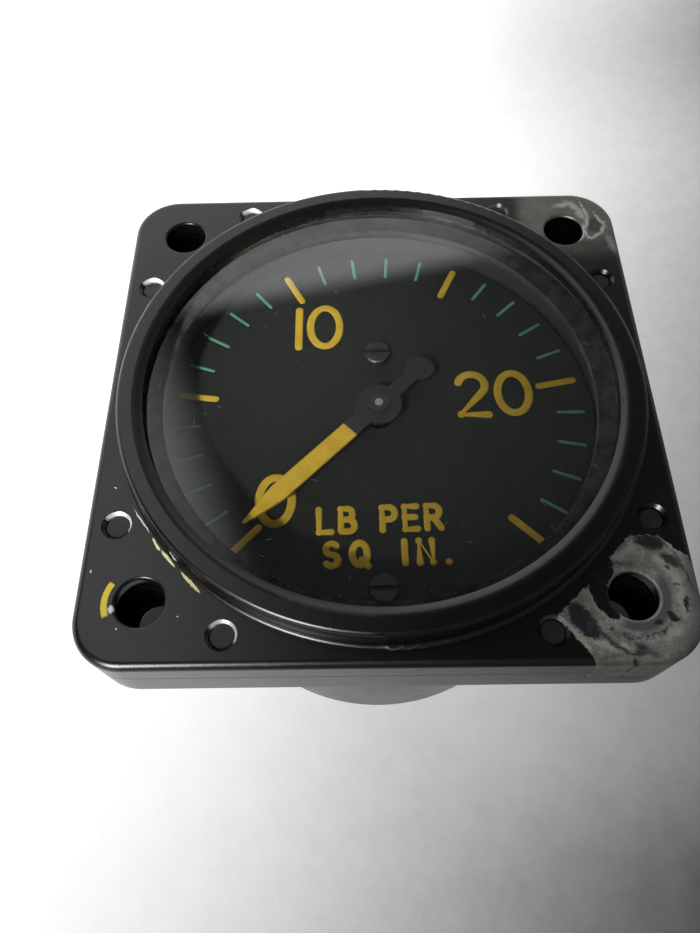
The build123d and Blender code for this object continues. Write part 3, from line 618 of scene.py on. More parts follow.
    def primer_corner(self, coat: Coat) -> Coat:
        """Chips the lower right corner down to a stained cream primer.

        Args:
            coat: the coat so far.

        Returns:
            The coat with the chipped corner in it.
        """
        x, y, z = coat.place
        graph = coat.graph
        wx, wy = frayed(x, 1.4, 0.9, 5, 0.66, 3.0), frayed(y, 1.4, 0.9, 5, 0.66, 9.0)
        grit = graph.noise(3.4, 5, 0.75, 4.0)
        blotch = graph.noise(0.8, 4, 0.65, 7.0)
        jitter = (grit - 0.5) * 0.9
        away = (wx - wy) * math.sqrt(0.5)
        lobe = (wx - 15.9) * 0.832 + (wy + 25.1) * 0.555
        notch = line_gap(wx, wy, PRIMER_NOTCH, 1.0) + jitter * 0.5
        hole = reach(x, y, (self.hole_place, -self.hole_place))
        wall = hole.below(self.hole_radius + 0.1, 0.03) * z.below(-0.25, 0.08)
        chip = away.above(self.primer_reach, 0.06) * wy.below(self.primer_top, 0.06)
        chip = chip * (wx + wy).below(self.primer_right, 0.08) * lobe.above(0.0, 0.06)
        chip = chip * notch.above(1.0, 0.06) * z.above(self.primer_low_z, 0.15) * (1 - wall)
        cream = graph.mix(blotch.above(0.48, 0.12), (0.68, 0.68, 0.57), (0.42, 0.43, 0.38))
        cream = graph.mix(grit.above(0.55, 0.06) * 0.6, cream, (0.2, 0.21, 0.21))
        coat = coat.over(chip, Layer(cream, 0.55), (grit - 0.5) * 0.7 - 0.9)

        bright = any_of(streak.mask(wx, wy, jitter) for streak in BRIGHT_PRIMER)
        coat = coat.over(bright * chip, PRIMER_WHITE)
        corner = [(x - self.corner_centre) | 0.0, (y * -1 - self.corner_centre) | 0.0]
        rim = (hole - self.rim_radius + jitter * 0.4).size().below(0.5, 0.25)
        rim = rim * (x - y).above(48.6, 0.9)
        brim = reach(*corner).above(self.corner_radius, 0.8) * x.above(27.0, 1.2) * 0.85
        foot = Streak(((23.6, -29.0), (24.9, -29.5)), 0.5, 0.3).mask(wx, wy, jitter)
        coat = coat.over((rim | brim | foot) * chip, WORN_PRIMER)
        stains = any_of(streak.mask(wx, wy, jitter) for streak in PRIMER_STAINS)
        mottle = line_gap(wx, wy, PRIMER_MOTTLE, 0.35).below(0.35, 0.3)
        stains = stains | mottle * grit.above(0.46, 0.08) * 0.75
        stains = stains | grit.above(0.64, 0.04) * blotch.above(0.52, 0.05) * 0.7
        inner = graph.mix(blotch.above(0.58, 0.06) * 0.3, (0.012, 0.016, 0.024), (0.14, 0.15, 0.15))
        coat = coat.over(stains * chip, Layer(inner, 0.4))
        flakes = notch.below(0.95, 0.1) * grit.above(0.62, 0.03) * hole.above(2.6, 0.05)
        flakes = flakes * away.above(self.primer_reach + 0.15, 0.1) * z.above(-0.2, 0.05)
        return coat.over(flakes * 0.6, PAINT_FLAKES)

    def smears(self, coat: Coat) -> Coat:
        """Lays the yellow and white smears of the lower left corner.

        Args:
            coat: the coat so far.

        Returns:
            The coat with the smears on it.
        """
        x, y, z = coat.place
        graph = coat.graph
        wx, wy = frayed(x, 0.3, 1.6, 4, 0.6, 3.0), frayed(y, 0.3, 1.6, 4, 0.6, 9.0)
        grit = graph.noise(3.2, 4, 0.7, 4.0)
        low = z.below(0.35, 0.08) * z.above(-0.2, 0.1)

        from_hole = [y + self.hole_place, (x + self.hole_place) * -1]
        turn = graph.add("ShaderNodeMath", {"operation": "ARCTAN2"}, from_hole)
        gap = reach(x, y, (-self.hole_place, -self.hole_place)) - self.smear_radius
        arc = gap.size().below(0.3, 0.05) * (turn - 0.09).size().below(0.5, 0.04)
        lenses = nearest_of(wx, wy, YELLOW_LENSES).below(1.0, 0.12)
        pale = grit.above(0.47, 0.12) | y.above(-20.4, 0.8) * 0.7
        tone = graph.mix(pale, (0.84, 0.66, 0.08), (0.92, 0.88, 0.58))
        tone = graph.mix(arc, tone, (0.84, 0.62, 0.04))
        coat = coat.over((lenses | arc) * low, Layer(tone, 0.5))
        white = nearest_of(wx, wy, WHITE_SPECKS).below(1.0, 0.3) * grit.above(0.4, 0.06)
        return coat.over(white * low, WHITE_SMEAR)


@dataclass(frozen=True)
class Metal(Finish):
    """Bare metal with tool marks, tarnish and a fine grain."""

    clean: Colour = (0.5, 0.5, 0.5)
    dull: Colour = (0.3, 0.3, 0.3)
    roughness: float = 0.3
    tarnish: float = 0.5
    turned: bool = False
    waves_per_mm: float = 3.0

    def paint(self, graph: Graph) -> Shade:
        """Wires the metal."""
        x, y, z = graph.place_mm()
        cloud = graph.noise(0.35, 4, 0.6, 1.0)
        grit = graph.noise(6.0, 3, 0.6, 2.0)
        stain = cloud.above(0.5, 0.16) * self.tarnish
        colour = graph.mix(stain, self.clean, self.dull)
        if self.turned:
            waves = reach(x, y) * (self.waves_per_mm * 2 * math.pi)
            height = grit * 0.5 + waves.math("SINE", waves) * 0.25
        else:
            height = grit * 0.5 + graph.noise(1.2, 2, 0.5, 3.0) * 0.5
        rough = self.roughness + stain * 0.2 + grit * 0.08
        return graph.principled(colour, rough, graph.bump(height, 0.03, 0.6), 1.0)


@dataclass(frozen=True)
class MattPaint(Finish):
    """Matt paint with a slightly uneven coat and dust."""

    coat: Colour = (0.03, 0.03, 0.03)
    thin: Colour = (0.02, 0.02, 0.02)
    roughness: float = 0.6
    dust: float = 0.2
    ior: float = 1.45
    dust_colour: Colour = (0.25, 0.25, 0.23)

    def paint(self, graph: Graph) -> Shade:
        """Wires the paint."""
        cloud = graph.noise(0.5, 4, 0.6, 2.0)
        grit = graph.noise(6.0, 3, 0.6, 5.0)
        speck = graph.noise(7.0, 2, 0.6, 8.0).above(0.72, 0.03) * self.dust
        colour = graph.mix(cloud.above(0.5, 0.2), self.coat, self.thin)
        colour = graph.mix(speck, colour, self.dust_colour)
        rough = self.roughness + grit * 0.1
        return graph.principled(colour, rough, graph.bump(grit, 0.02, 0.5), ior=self.ior)


@dataclass(frozen=True)
class PointerPaint(Finish):
    """Yellow paint on the blade, black paint round the hub and on the tail."""

    rest_angle: float = -134.6
    yellow_from_mm: float = 4.65
    half_width_mm: float = 0.9
    roughness: float = 0.45
    ior: float = 1.45
    yellow: Colour = (0.72, 0.46, 0.035)
    aged: Colour = (0.62, 0.37, 0.03)
    edge: Colour = (0.45, 0.27, 0.02)
    black: Colour = (0.008, 0.008, 0.008)

    def paint(self, graph: Graph) -> Shade:
        """Wires both paints and the edge between them."""
        x, y, z = graph.place_mm()
        turn = math.radians(self.rest_angle)
        along = x * math.sin(turn) + y * math.cos(turn)
        across = x * math.cos(turn) - y * math.sin(turn)
        grit = graph.noise(5.0, 3, 0.6, 3.0)
        cloud = graph.noise(0.6, 3, 0.6, 4.0)
        blade = (along + (grit - 0.5) * 0.12).above(self.yellow_from_mm, 0.06)
        brim = (across.size() - self.half_width_mm).above(0.0, 0.12) * 0.35
        yellow = graph.mix(cloud.above(0.5, 0.2), self.yellow, self.aged)
        yellow = graph.mix(brim, yellow, self.edge)
        colour = graph.mix(blade, self.black, yellow)
        rough = self.roughness + grit * 0.15
        return graph.principled(colour, rough, graph.bump(grit, 0.02, 0.5), ior=self.ior)


@dataclass(frozen=True)
class Rubber(Finish):
    """Black rubber with grey dust on it."""

    dust: float = 0.5
    black: Colour = (0.012, 0.012, 0.012)
    grey: Colour = (0.13, 0.13, 0.12)

    def paint(self, graph: Graph) -> Shade:
        """Wires the rubber."""
        grit = graph.noise(4.0, 4, 0.65, 2.0)
        cloud = graph.noise(0.6, 3, 0.6, 5.0)
        dusty = (cloud.above(0.5, 0.15) * 0.6 + grit.above(0.56, 0.1) * 0.4) * self.dust
        colour = graph.mix(dusty, self.black, self.grey)
        return graph.principled(colour, 0.62 + dusty * 0.3, graph.bump(grit, 0.04, 0.6))


@dataclass(frozen=True)
class ClearGlass(Finish):
    """Clear flat glass that bends light and lets lamps through to the dial."""

    tint: Colour = (0.96, 0.985, 0.975)
    thin_tint: Colour = (0.95, 0.96, 0.955)
    ior: float = 1.5
    smear_rough: float = 0.012

    def paint(self, graph: Graph) -> Shade:
        """Wires the glass."""
        smear = graph.noise(0.25, 3, 0.6, 4.0).above(0.6, 0.15)
        sockets = {
            "Base Color": self.tint,
            "Roughness": smear * self.smear_rough,
            "IOR": self.ior,
            "Transmission Weight": 1.0,
        }
        clear = graph.add("ShaderNodeBsdfTransparent", None, {"Color": self.thin_tint})
        thick = graph.add("ShaderNodeBsdfPrincipled", None, sockets)
        return graph.either(graph.ray_is(LIGHTING_RAYS), thick, clear)


@dataclass(frozen=True)
class PaleFloor(Finish):
    """A white, faintly crinkled table top that darkens to the right, and is painted near black
    under the gauge as its shadow.
    """

    light_tone: Colour = (0.31, 0.31, 0.305)
    dark_tone: Colour = (0.27, 0.27, 0.265)
    # painted shadow: the table's colour under the gauge
    painted_shadow_tone: Colour = (0.008, 0.008, 0.008)
    glow_tone: Colour = (1.0, 1.0, 0.995)
    dark_level: float = -0.03
    rise: float = 1.33
    across: Point = (0.905, -0.426)
    edge_mm: float = 13.5
    soft_mm: float = 24.5
    diffuse_level: float = 0.09
    beside_gain: float = 0.1
    front_loss: float = 0.03
    far_loss: float = 0.18
    painted_shadow_half: float = 45.0
    painted_shadow_low: float = -17.5
    painted_shadow_high: float = 68.0

    def paint(self, graph: Graph) -> Shade:
        """Wires the floor and the white that the camera and reflections see."""
        x, y, z = graph.place_mm()
        crinkle = graph.noise(0.09, 5, 0.6, 2.0)
        mottle = graph.noise(0.25, 4, 0.65, 6.0)
        # painted shadow: under the gauge the table is painted near black and gets no glow
        painted_shadow = x.size().below(self.painted_shadow_half, 0.6) * y.above(self.painted_shadow_low, 1.5)
        painted_shadow = painted_shadow * y.below(self.painted_shadow_high, 3.0)
        tone = graph.mix(mottle.above(0.52, 0.2), self.light_tone, self.dark_tone)
        tone = graph.mix(painted_shadow, tone, self.painted_shadow_tone)
        surface = graph.principled(tone, 0.7, graph.bump(crinkle, 1.6, 0.55))
        # painted light: the glow is brightest at the left and falls off to the right, a little
        # brighter beside the gauge, with painted shade in front and far behind
        shift = x * self.across[0] + y * self.across[1] - self.edge_mm + (mottle - 0.5) * 6
        steep = shift / self.soft_mm
        fall = 1 / (steep.math("EXPONENT", steep) + 1)
        beside = x.above(10.0, 14.0) * y.above(-40.0, 12.0) * y.below(95.0, 15.0)
        far = y.above(115.0, 20.0) * x.above(30.0, 20.0)
        trim = beside * self.beside_gain - y.below(-45.0, 12.0) * self.front_loss
        trim = trim - far * self.far_loss
        level = (self.dark_level - self.diffuse_level + fall * self.rise + trim) | 0.0
        strength = level * graph.ray_is(SEEN_RAYS) * (1 - painted_shadow)
        lit = {"Color": self.glow_tone, "Strength": strength}
        glow = graph.add("ShaderNodeEmission", None, lit)
        return graph.add("ShaderNodeAddShader", None, [surface, glow])


class Slot(Enum):
    """The record's material slots, each with the finish that it gets."""

    BLACK_PAINT = "black_paint"
    GLASS = "glass"
    RUBBER = "rubber"
    DULL_METAL = "dull_metal"
    STEEL = "steel"
    DIAL_PAINT = "dial_paint"
    BLACK_SCREW = "black_screw"
    BRASS = "brass"
    BRONZE = "bronze"
    SPRING_BRONZE = "spring_bronze"
    POINTER_PAINT = "pointer_paint"


FINISHES: Dict[Slot, Finish] = {
    Slot.BLACK_PAINT: BlackPaint("black_paint"),
    Slot.GLASS: ClearGlass("clear_glass"),
    Slot.RUBBER: Rubber("dusty_rubber"),
    Slot.DULL_METAL: MattPaint(
        "dull_black", (0.012, 0.012, 0.012), (0.018, 0.018, 0.017), roughness=0.5, dust=0.4
    ),
    Slot.STEEL: Metal("plain_steel", (0.5, 0.5, 0.49), (0.24, 0.22, 0.2), 0.28, 0.6),
    Slot.DIAL_PAINT: MattPaint(
        "dial_paint", (0.02, 0.0215, 0.0195), (0.0165, 0.018, 0.016), roughness=0.62, ior=1.25
    ),
    Slot.BLACK_SCREW: MattPaint(
        "black_oxide", (0.012, 0.0115, 0.011), (0.03, 0.027, 0.023), roughness=0.42
    ),
    Slot.BRASS: Metal("turned_brass", (0.62, 0.44, 0.19), (0.3, 0.2, 0.09), turned=True),
    Slot.BRONZE: Metal("drawn_bronze", (0.58, 0.36, 0.18), (0.27, 0.16, 0.09), tarnish=0.6),
    Slot.SPRING_BRONZE: Metal("spring_strip", (0.56, 0.38, 0.2), (0.3, 0.19, 0.1), 0.25, 0.3),
    Slot.POINTER_PAINT: PointerPaint("pointer_paint"),
}


class Piece:
    """A new mesh, built in bmesh in millimetres and kept as one object at the origin."""

    def __init__(self, name: str) -> None:
        """Starts an empty mesh under a name."""
        self.name = name
        self.form = bmesh.new()

    def keep(self, material: bpy.types.Material, slot: Slot) -> None:
        """Turns the mesh into a smooth object that rides on the gauge's still body.

        Args:
            material: its material.
            slot: not used.
        """
        bmesh.ops.scale(self.form, vec=(MM, MM, MM), verts=self.form.verts)
        bmesh.ops.recalc_face_normals(self.form, faces=self.form.faces)
        for face in self.form.faces:
            face.smooth = True
        mesh = bpy.data.meshes.new(self.name)
        self.form.to_mesh(mesh)
        self.form.free()
        mesh.materials.append(material)
        made = bpy.data.objects.new(self.name, mesh)
        bpy.context.scene.collection.objects.link(made)
        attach(made, GAUGE)
        LOG.info("piece %s, %d faces", self.name, len(mesh.polygons))


def arc_points(
    centre: Point, radii: Point, first: float, last: float, steps: int = 14
) -> List[Point]:
    """Points along an arc of an ellipse, between two angles in degrees."""
    turns = [math.radians(first + (last - first) * i / steps) for i in range(steps + 1)]
    return [(centre[0] + radii[0] * math.cos(t), centre[1] + radii[1] * math.sin(t)) for t in turns]


# a sign's width and its strokes, as points, for a sign of height 1
Sign = Tuple[float, List[List[Point]]]
SIGNS: Dict[str, Sign] = {
    " ": (0.35, []),
    ".": (0.08, [[(0.04, 0.0), (0.05, 0.0)]]),
    "0": (0.52, [arc_points((0.26, 0.5), (0.26, 0.5), 0, 360, 40)]),
    "1": (0.1, [[(0.05, 0), (0.05, 1)]]),
    "2": (
        0.55,
        [
            arc_points((0.27, 0.73), (0.27, 0.27), 165, -28, 16)
            + [(0.4, 0.46), (0.02, 0.02), (0.56, 0.0)]
        ],
    ),
    "L": (0.5, [[(0, 1), (0, 0), (0.5, 0)]]),
    "B": (
        0.55,
        [
            [(0, 0), (0, 1), (0.28, 1), *arc_points((0.28, 0.76), (0.2, 0.24), 90, -90), (0, 0.52)],
            [(0.28, 0.52), *arc_points((0.3, 0.26), (0.25, 0.26), 90, -90), (0, 0)],
        ],
    ),
    "P": (
        0.52,
        [[(0, 0), (0, 1), (0.26, 1), *arc_points((0.26, 0.73), (0.26, 0.27), 90, -90), (0, 0.46)]],
    ),
    "E": (0.5, [[(0.5, 1), (0, 1), (0, 0), (0.5, 0)], [(0, 0.52), (0.42, 0.52)]]),
    "R": (
        0.56,
        [
            [(0, 0), (0, 1), (0.28, 1)]
            + arc_points((0.28, 0.74), (0.25, 0.26), 90, -90)
            + [(0, 0.48)],
            [(0.28, 0.48), (0.56, 0)],
        ],
    ),
    "S": (
        0.54,
        [
            arc_points((0.28, 0.75), (0.25, 0.25), 35, 270)
            + arc_points((0.27, 0.25), (0.27, 0.25), 90, -145)[1:]
        ],
    ),
    "Q": (
        0.66,
        [arc_points((0.32, 0.5), (0.32, 0.5), 0, 360, 32), [(0.4, 0.24), (0.66, -0.06)]],
    ),
    "I": (0.02, [[(0.01, 0), (0.01, 1)]]),
    "N": (0.56, [[(0, 0), (0, 1), (0.56, 0), (0.56, 1)]]),
}
NUMERALS: Tuple[Tuple[str, Point, Point], ...] = (
    ("1", (-10.1, 9.4), (-9.05, 16.1)),
    ("0", (-8.65, 9.5), (-4.02, 16.4)),
    ("2", (9.05, -0.75), (13.28, 5.88)),
    ("0", (13.68, -0.55), (18.31, 5.94)),
    ("0", (-13.98, -14.18), (-9.36, -7.55)),
)
UNIT_ROWS: Tuple[Tuple[str, Point, Point], ...] = (
    ("LB PER", (-7.55, -14.95), (6.45, -11.5)),
    ("SQ IN.", (-6.95, -18.85), (7.0, -15.55)),
)


@dataclass
class DialFace:
    """The scale, numerals and unit lettering, painted as low crowned strokes on the dial."""

    face_z: float = -6.1
    paint_height: float = 0.05
    lean: float = 1.4
    first_mark: float = -136.5
    mark_step: float = 10.8
    marks: int = 26
    marks_per_major: int = 5
    outer_radius: float = 24.0
    major_inner_radius: float = 19.0
    minor_inner_radius: float = 20.7
    major_width: float = 0.84
    minor_width: float = 0.4
    numeral_width: float = 0.98
    letter_width: float = 0.78
    sharp_turn: float = 0.6

    def stroke(self, form: Form, points: Sequence[Point], width: float) -> None:
        """Lays one painted stroke with round ends.

        Args:
            form: the mesh that takes it.
            points: its middle line.
            width: its width.
        """
        curve = bpy.data.curves.new("stroke", "CURVE")
        curve.dimensions = "3D"
        curve.bevel_depth = width / 2
        curve.bevel_resolution = 3
        curve.use_fill_caps = True
        line = curve.splines.new("POLY")
        closed = math.dist(points[0], points[-1]) < 1e-6
        shown = points[:-1] if closed else points
        line.points.add(len(shown) - 1)
        for spot, (px, py) in zip(line.points, shown):
            spot.co = (px, py, 0, 1)
        line.use_cyclic_u = closed
        holder = bpy.data.objects.new("stroke", curve)
        mesh = bpy.data.meshes.new_from_object(holder)
        form.from_mesh(mesh)
        caps = () if closed else (points[0], points[-1])
        sharp = [
            b
            for a, b, c in zip(points, points[1:], points[2:])
            if (Vector(b) - Vector(a)).angle(Vector(c) - Vector(b), 0) > self.sharp_turn
        ]
        for px, py in (*caps, *sharp):
            ball = Matrix.Translation((px, py, 0))
            bmesh.ops.create_icosphere(form, subdivisions=2, radius=width / 2, matrix=ball)
        bpy.data.objects.remove(holder)
        bpy.data.curves.remove(curve)
        bpy.data.meshes.remove(mesh)

    def mark(
        self, form: Form, angle: float, inner: float, outer: float, width: float
    ) -> None:
        """Lays one mark of the scale, at an angle clockwise from the top."""
        turn = math.radians(angle)
        reaches = (inner + width / 2, outer - width / 2)
        self.stroke(form, [(r * math.sin(turn), r * math.cos(turn)) for r in reaches], width)

    def numeral(self, form: Form, sign: str, low: Point, high: Point) -> None:
        """Writes one numeral that fills a box between two corners."""
        width, strokes = SIGNS[sign]
        half = self.numeral_width / 2
        across, up = (high[0] - low[0] - 2 * half) / width, high[1] - low[1] - 2 * half
        for points in strokes:
            placed = [(low[0] + half + px * across, low[1] + half + py * up) for px, py in points]
            self.stroke(form, placed, self.numeral_width)

    def sign_row(self, form: Form, row: str, low: Point, high: Point) -> None:
        """Writes a leaning row of signs that fills a box between two corners."""
        half = self.letter_width / 2
        signs = [SIGNS[sign] for sign in row]
        height = high[1] - low[1] - 2 * half
        room = high[0] - low[0] - 2 * half - height * sum(width for width, _ in signs)
        pen = low[0] + half
        for width, strokes in signs:
            for points in strokes:
                placed = [(pen + px * height, low[1] + half + py * height) for px, py in points]
                self.stroke(form, self.leaned(placed), self.letter_width)
            pen += width * height + room / (len(signs) - 1)

    def leaned(self, points: Sequence[Point]) -> List[Point]:
        """Turns points by the dial's small lean."""
        turn = math.radians(self.lean)
        c, s = math.cos(turn), math.sin(turn)
        return [(px * c - py * s, px * s + py * c) for px, py in points]

    def lay(self, form: Form, width: float) -> None:
        """Flattens finished strokes of one width and puts them on the dial's face."""
        bmesh.ops.scale(form, vec=(1, 1, 2 * self.paint_height / width), verts=form.verts)
        bmesh.ops.translate(form, vec=(0, 0, self.face_z), verts=form.verts)

    def build(self) -> None:
        """Makes the marks, the numerals and the unit rows."""
        yellow = MattPaint("mark_yellow", (0.7, 0.45, 0.05), (0.58, 0.36, 0.035), 0.6, 0.05, 1.2)
        green = MattPaint("mark_green", (0.12, 0.36, 0.23), (0.09, 0.28, 0.18), 0.6, 0.05, 1.2)
        majors, minors = Piece("scale_majors"), Piece("scale_minors")
        for place in range(self.marks):
            angle = self.first_mark + place * self.mark_step
            if place % self.marks_per_major:
                form, inner, width = minors.form, self.minor_inner_radius, self.minor_width
            else:
                form, inner, width = majors.form, self.major_inner_radius, self.major_width
            self.mark(form, angle, inner, self.outer_radius, width)
        numerals, units = Piece("numerals"), Piece("unit_lettering")
        for sign, low, high in NUMERALS:
            self.numeral(numerals.form, sign, low, high)
        for row, low, high in UNIT_ROWS:
            self.sign_row(units.form, row, low, high)
        made_yellow = yellow.material()
        for piece, material, width in (
            (majors, made_yellow, self.major_width),
            (minors, green.material(), self.minor_width),
            (numerals, made_yellow, self.numeral_width),
            (units, made_yellow, self.letter_width),
        ):
            self.lay(piece.form, width)
            piece.keep(material, Slot.DIAL_PAINT)


@dataclass(frozen=True)
class Thread:
    """A thread's sizes: its wall's radius, where its ridge winds, its pitch and its height."""

    radius: float
    span: Point
    pitch: float
    height: float


@dataclass
class Threads:
    """Helical ridges in the threaded holes."""

    panel: Thread = Thread(2.41, (-8.4, -1.6), 0.79, 0.26)
    panel_spacing: float = 47.625
    port: Thread = Thread(4.3, (-42.1, -36.7), 0.94, 0.4)
    port_place: Point = (0.0, -12.5)
    steps_per_turn: int = 40
    sunk_depth: float = 0.05
    foot_share: float = 0.42
    crest_share: float = 0.2

    def ridge(self, form: Form, centre: Point, thread: Thread) -> None:
        """Winds a thread's ridge, of triangular section, along the wall of a hole.

        Args:
            form: the mesh that takes it.
            centre: the hole's axis.
            thread: the thread.
        """
        low, high = thread.span
        sunk, crest = thread.radius + self.sunk_depth, thread.radius - thread.height
        half = thread.pitch * self.foot_share
        flat = half * self.crest_share
        corners = [(sunk, low - half), (crest, low - flat), (crest, low + flat), (sunk, low + half)]
        verts = [form.verts.new((centre[0] + r, centre[1], z)) for r, z in corners]
        face = form.faces.new(verts)
        steps = int((high - low) / thread.pitch * self.steps_per_turn)
        bmesh.ops.spin(
            form,
            geom=[face, *face.edges, *face.verts],
            cent=(*centre, 0),
            axis=(0, 0, 1),
            dvec=(0, 0, thread.pitch / self.steps_per_turn),
            angle=2 * math.pi * steps / self.steps_per_turn,
            steps=steps,
        )

    def build(self) -> None:
        """Makes the threads of the panel holes and of the port."""
        cut = Metal("cut_thread", (0.006, 0.006, 0.006), (0.003, 0.003, 0.003), 0.9, 0.7)
        holes, port = Piece("panel_threads"), Piece("port_thread")
        half = self.panel_spacing / 2
        for sx in (-1, 1):
            for sy in (-1, 1):
                self.ridge(holes.form, (sx * half, sy * half), self.panel)
        self.ridge(port.form, self.port_place, self.port)
        holes.keep(cut.material(), Slot.BLACK_PAINT)
        port.keep(FINISHES[Slot.BRASS].material(), Slot.BRASS)


@dataclass
class Dust:
    """Specks and short fibres that lie on the glass and the dial."""

    glass_z: float = 1.93
    glass_radius: float = 25.2
    specks: int = 170
    speck_radii: Point = (0.02, 0.055)
    near_share: float = 0.6
    near_spread: float = 0.8
    far_spread: float = 9.0
    fibres: int = 26
    fibre_lengths: Point = (0.25, 0.8)
    fibre_radii: Point = (0.018, 0.012)
    fibre_spread: float = 5.0
    fibre_margin: float = 0.4
    fibre_lift: float = 0.02
    seed: int = 11

    def place(self, radius: float, turn: float, lift: float) -> Matrix:
        """A place over the glass, from its polar coordinates and its height."""
        spot = (radius * math.cos(turn), radius * math.sin(turn), self.glass_z + lift)
        return Matrix.Translation(spot)

    def build(self) -> None:
        """Scatters the specks, most of them near the ring's inner wall."""
        chance = random.Random(self.seed)
        form = (piece := Piece("glass_dust")).form
        for _ in range(self.specks):
            spread = self.near_spread if chance.random() < self.near_share else self.far_spread
            radius = self.glass_radius - abs(chance.gauss(0, spread))
            turn = chance.uniform(0, 2 * math.pi)
            size = chance.uniform(*self.speck_radii)
            shape = self.place(radius, turn, size * 0.3)
            shape = shape @ Matrix.Rotation(chance.uniform(0, 3), 4, "Z")
            shape = shape @ Matrix.Diagonal((1.0, chance.uniform(0.5, 1.0), 0.5, 1.0))
            bmesh.ops.create_icosphere(form, subdivisions=1, radius=size, matrix=shape)
        for _ in range(self.fibres):
            radius = self.glass_radius - abs(chance.gauss(0, self.fibre_spread))
            turn = chance.uniform(0, 2 * math.pi)
            length = chance.uniform(*self.fibre_lengths)
            shape = self.place(radius - self.fibre_margin, turn, self.fibre_lift)
            shape = shape @ Matrix.Rotation(chance.uniform(0, 3.14), 4, "Z")
            bmesh.ops.create_cone(
                form,
                cap_ends=True,
                segments=5,
                radius1=self.fibre_radii[0],
                radius2=self.fibre_radii[1],
                depth=length,
                matrix=shape @ Matrix.Rotation(math.pi / 2, 4, "X"),
            )
        lint = MattPaint("lint", (0.42, 0.41, 0.38), (0.3, 0.3, 0.27), roughness=0.8, dust=0.1)
        piece.keep(lint.material(), Slot.GLASS)


@dataclass
class Frame:
    """The CAD nodes, each dressed by the finish of its material slot."""

    def dress(self) -> None:
        """Gives every CAD node its finish."""
        made = {slot: finish.material() for slot, finish in FINISHES.items()}
        for row in frame["record"]["subparts"]:
            node = frame["nodes"][row["node"]]
            node.data.materials.clear()
            node.data.materials.append(made[Slot(row["material_slot"])])
            LOG.info("node %s: %s", row["node"], row["material_slot"])


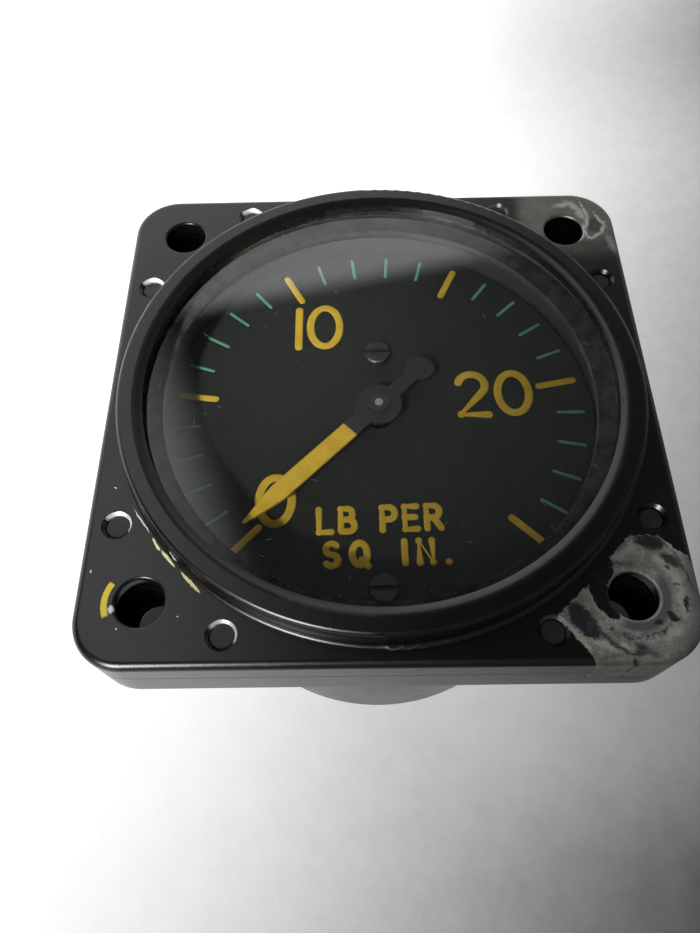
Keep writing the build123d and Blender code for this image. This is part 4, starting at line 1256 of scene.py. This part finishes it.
@dataclass
class Studio:
    """Floor, sky, lamps and camera."""

    floor_z: float = -0.0436
    floor_side: float = 3.0
    lens_px: float = 743.856
    frame_px: Tuple[int, int] = (700, 933)
    sensor: float = 36.0
    eye_mm: Way = (-2.3336, -45.9841, 69.2526)
    right: Way = (0.99978526, -0.00851162, -0.01889433)
    down: Way = (-0.01635628, -0.88396112, -0.46727424)
    ahead: Way = (-0.01272459, 0.46748294, -0.88391051)
    lamp_aim_mm: Way = (-24.0, 11.0, 0.0)
    lamp_distance: float = 0.6
    cone_way: Way = (-0.45, -0.85, 1.0)
    cone_radius: float = 0.03
    cone_watts: float = 40.0
    cone_angle: float = 5.7
    box_way: Way = (-0.72, -1.35, 1.0)
    box_sides: Point = (0.2, 0.32)
    box_radiance: float = 28.0
    sky_diffuse: float = 0.6
    sky_dim: float = 0.04
    back_level: float = 1.4
    window_level: float = 1.5
    right_level: float = 0.12

    def lay_floor(self) -> None:
        """Makes the table top."""
        form = bmesh.new()
        bmesh.ops.create_grid(form, x_segments=1, y_segments=1, size=self.floor_side / 2)
        bmesh.ops.translate(form, vec=(0, 0, self.floor_z), verts=form.verts)
        mesh = bpy.data.meshes.new("floor")
        form.to_mesh(mesh)
        form.free()
        mesh.materials.append(PaleFloor("table_top").material())
        made = bpy.data.objects.new("floor", mesh)
        bpy.context.scene.collection.objects.link(made)

    def hang_sky(self) -> None:
        """Makes the room: a bright back and left side, and a dim ceiling."""
        world = bpy.data.worlds.new("room")
        bpy.context.scene.world = world
        world.use_nodes = True
        world.node_tree.nodes.clear()
        graph = Graph(world.node_tree)
        ray = graph.add("ShaderNodeTexCoord", output="Generated")
        parts = graph.node("ShaderNodeSeparateXYZ", None, [ray])
        x, y, z = (Shade(graph, output) for output in parts.outputs)
        lift = z | 0.02
        u, v = x / lift, y / lift
        back = (v + u * -0.22).above(0.9, 0.03) * (0.25 + u.below(0.24, 0.16) * 0.75)
        window = (u + (v - 0.27) * 0.35).below(-0.17, 0.07)
        window = window * v.above(0.1, 0.12) * u.above(-0.65, 0.12)
        level = self.sky_dim + (back * self.back_level | window * self.window_level)
        level = level + u.above(0.5, 0.3) * self.right_level
        level = level * (graph.ray_is(SEEN_RAYS) * (1 - self.sky_diffuse) + self.sky_diffuse)
        sky = graph.add("ShaderNodeBackground", None, {"Color": (1, 1, 1, 1), "Strength": level})
        output = world.node_tree.nodes.new("ShaderNodeOutputWorld")
        world.node_tree.links.new(sky.socket, output.inputs["Surface"])

    def hang_lamp(self, light: bpy.types.Light, way: Way) -> bpy.types.Object:
        """Hangs a lamp that faces the aim from a direction."""
        reach = Vector(way).normalized() * self.lamp_distance
        made = bpy.data.objects.new(light.name, light)
        made.location = Vector(self.lamp_aim_mm) * MM + reach
        made.rotation_euler = (-reach).to_track_quat("-Z", "Y").to_euler()
        bpy.context.scene.collection.objects.link(made)
        return made

    def hang_lamps(self) -> None:
        """Hangs a cone of light from the front left, and the soft box that the paint mirrors."""
        cone = bpy.data.lights.new("cone", "SPOT")
        cone.energy = self.cone_watts
        cone.shadow_soft_size = self.cone_radius
        cone.spot_size = math.radians(self.cone_angle)
        cone.spot_blend = 1.0
        self.hang_lamp(cone, self.cone_way).visible_glossy = False
        box = bpy.data.lights.new("soft_box", "AREA")
        box.shape = "RECTANGLE"
        box.size, box.size_y = self.box_sides
        box.energy = self.box_radiance * math.pi * box.size * box.size_y
        shine = self.hang_lamp(box, self.box_way)
        shine.visible_diffuse = False
        shine.visible_camera = False

    def set_camera(self) -> None:
        """Places the camera where the photograph was taken from."""
        lens = bpy.data.cameras.new("camera")
        lens.sensor_fit = "VERTICAL"
        lens.sensor_height = self.sensor
        lens.lens = self.lens_px / self.frame_px[1] * self.sensor
        lens.clip_start = 0.005
        made = bpy.data.objects.new("camera", lens)
        rows = (self.right, [-v for v in self.down], [-v for v in self.ahead])
        axes = Matrix(rows).transposed().to_4x4()
        made.matrix_world = Matrix.Translation(Vector(self.eye_mm) * MM) @ axes
        bpy.context.scene.collection.objects.link(made)
        bpy.context.scene.camera = made

    def build(self) -> None:
        """Makes the whole studio."""
        self.lay_floor()
        self.hang_sky()
        self.hang_lamps()
        self.set_camera()
        bpy.context.scene.view_settings.view_transform = "Standard"


def main() -> None:
    """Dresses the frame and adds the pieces."""
    logging.basicConfig(level=logging.INFO, format="%(name)s: %(message)s")
    Studio().build()
    Frame().dress()
    for part in (DialFace(), Threads(), Dust()):
        part.build()
        LOG.info("built %s", type(part).__name__)


if __name__ == "__main__":
    main()
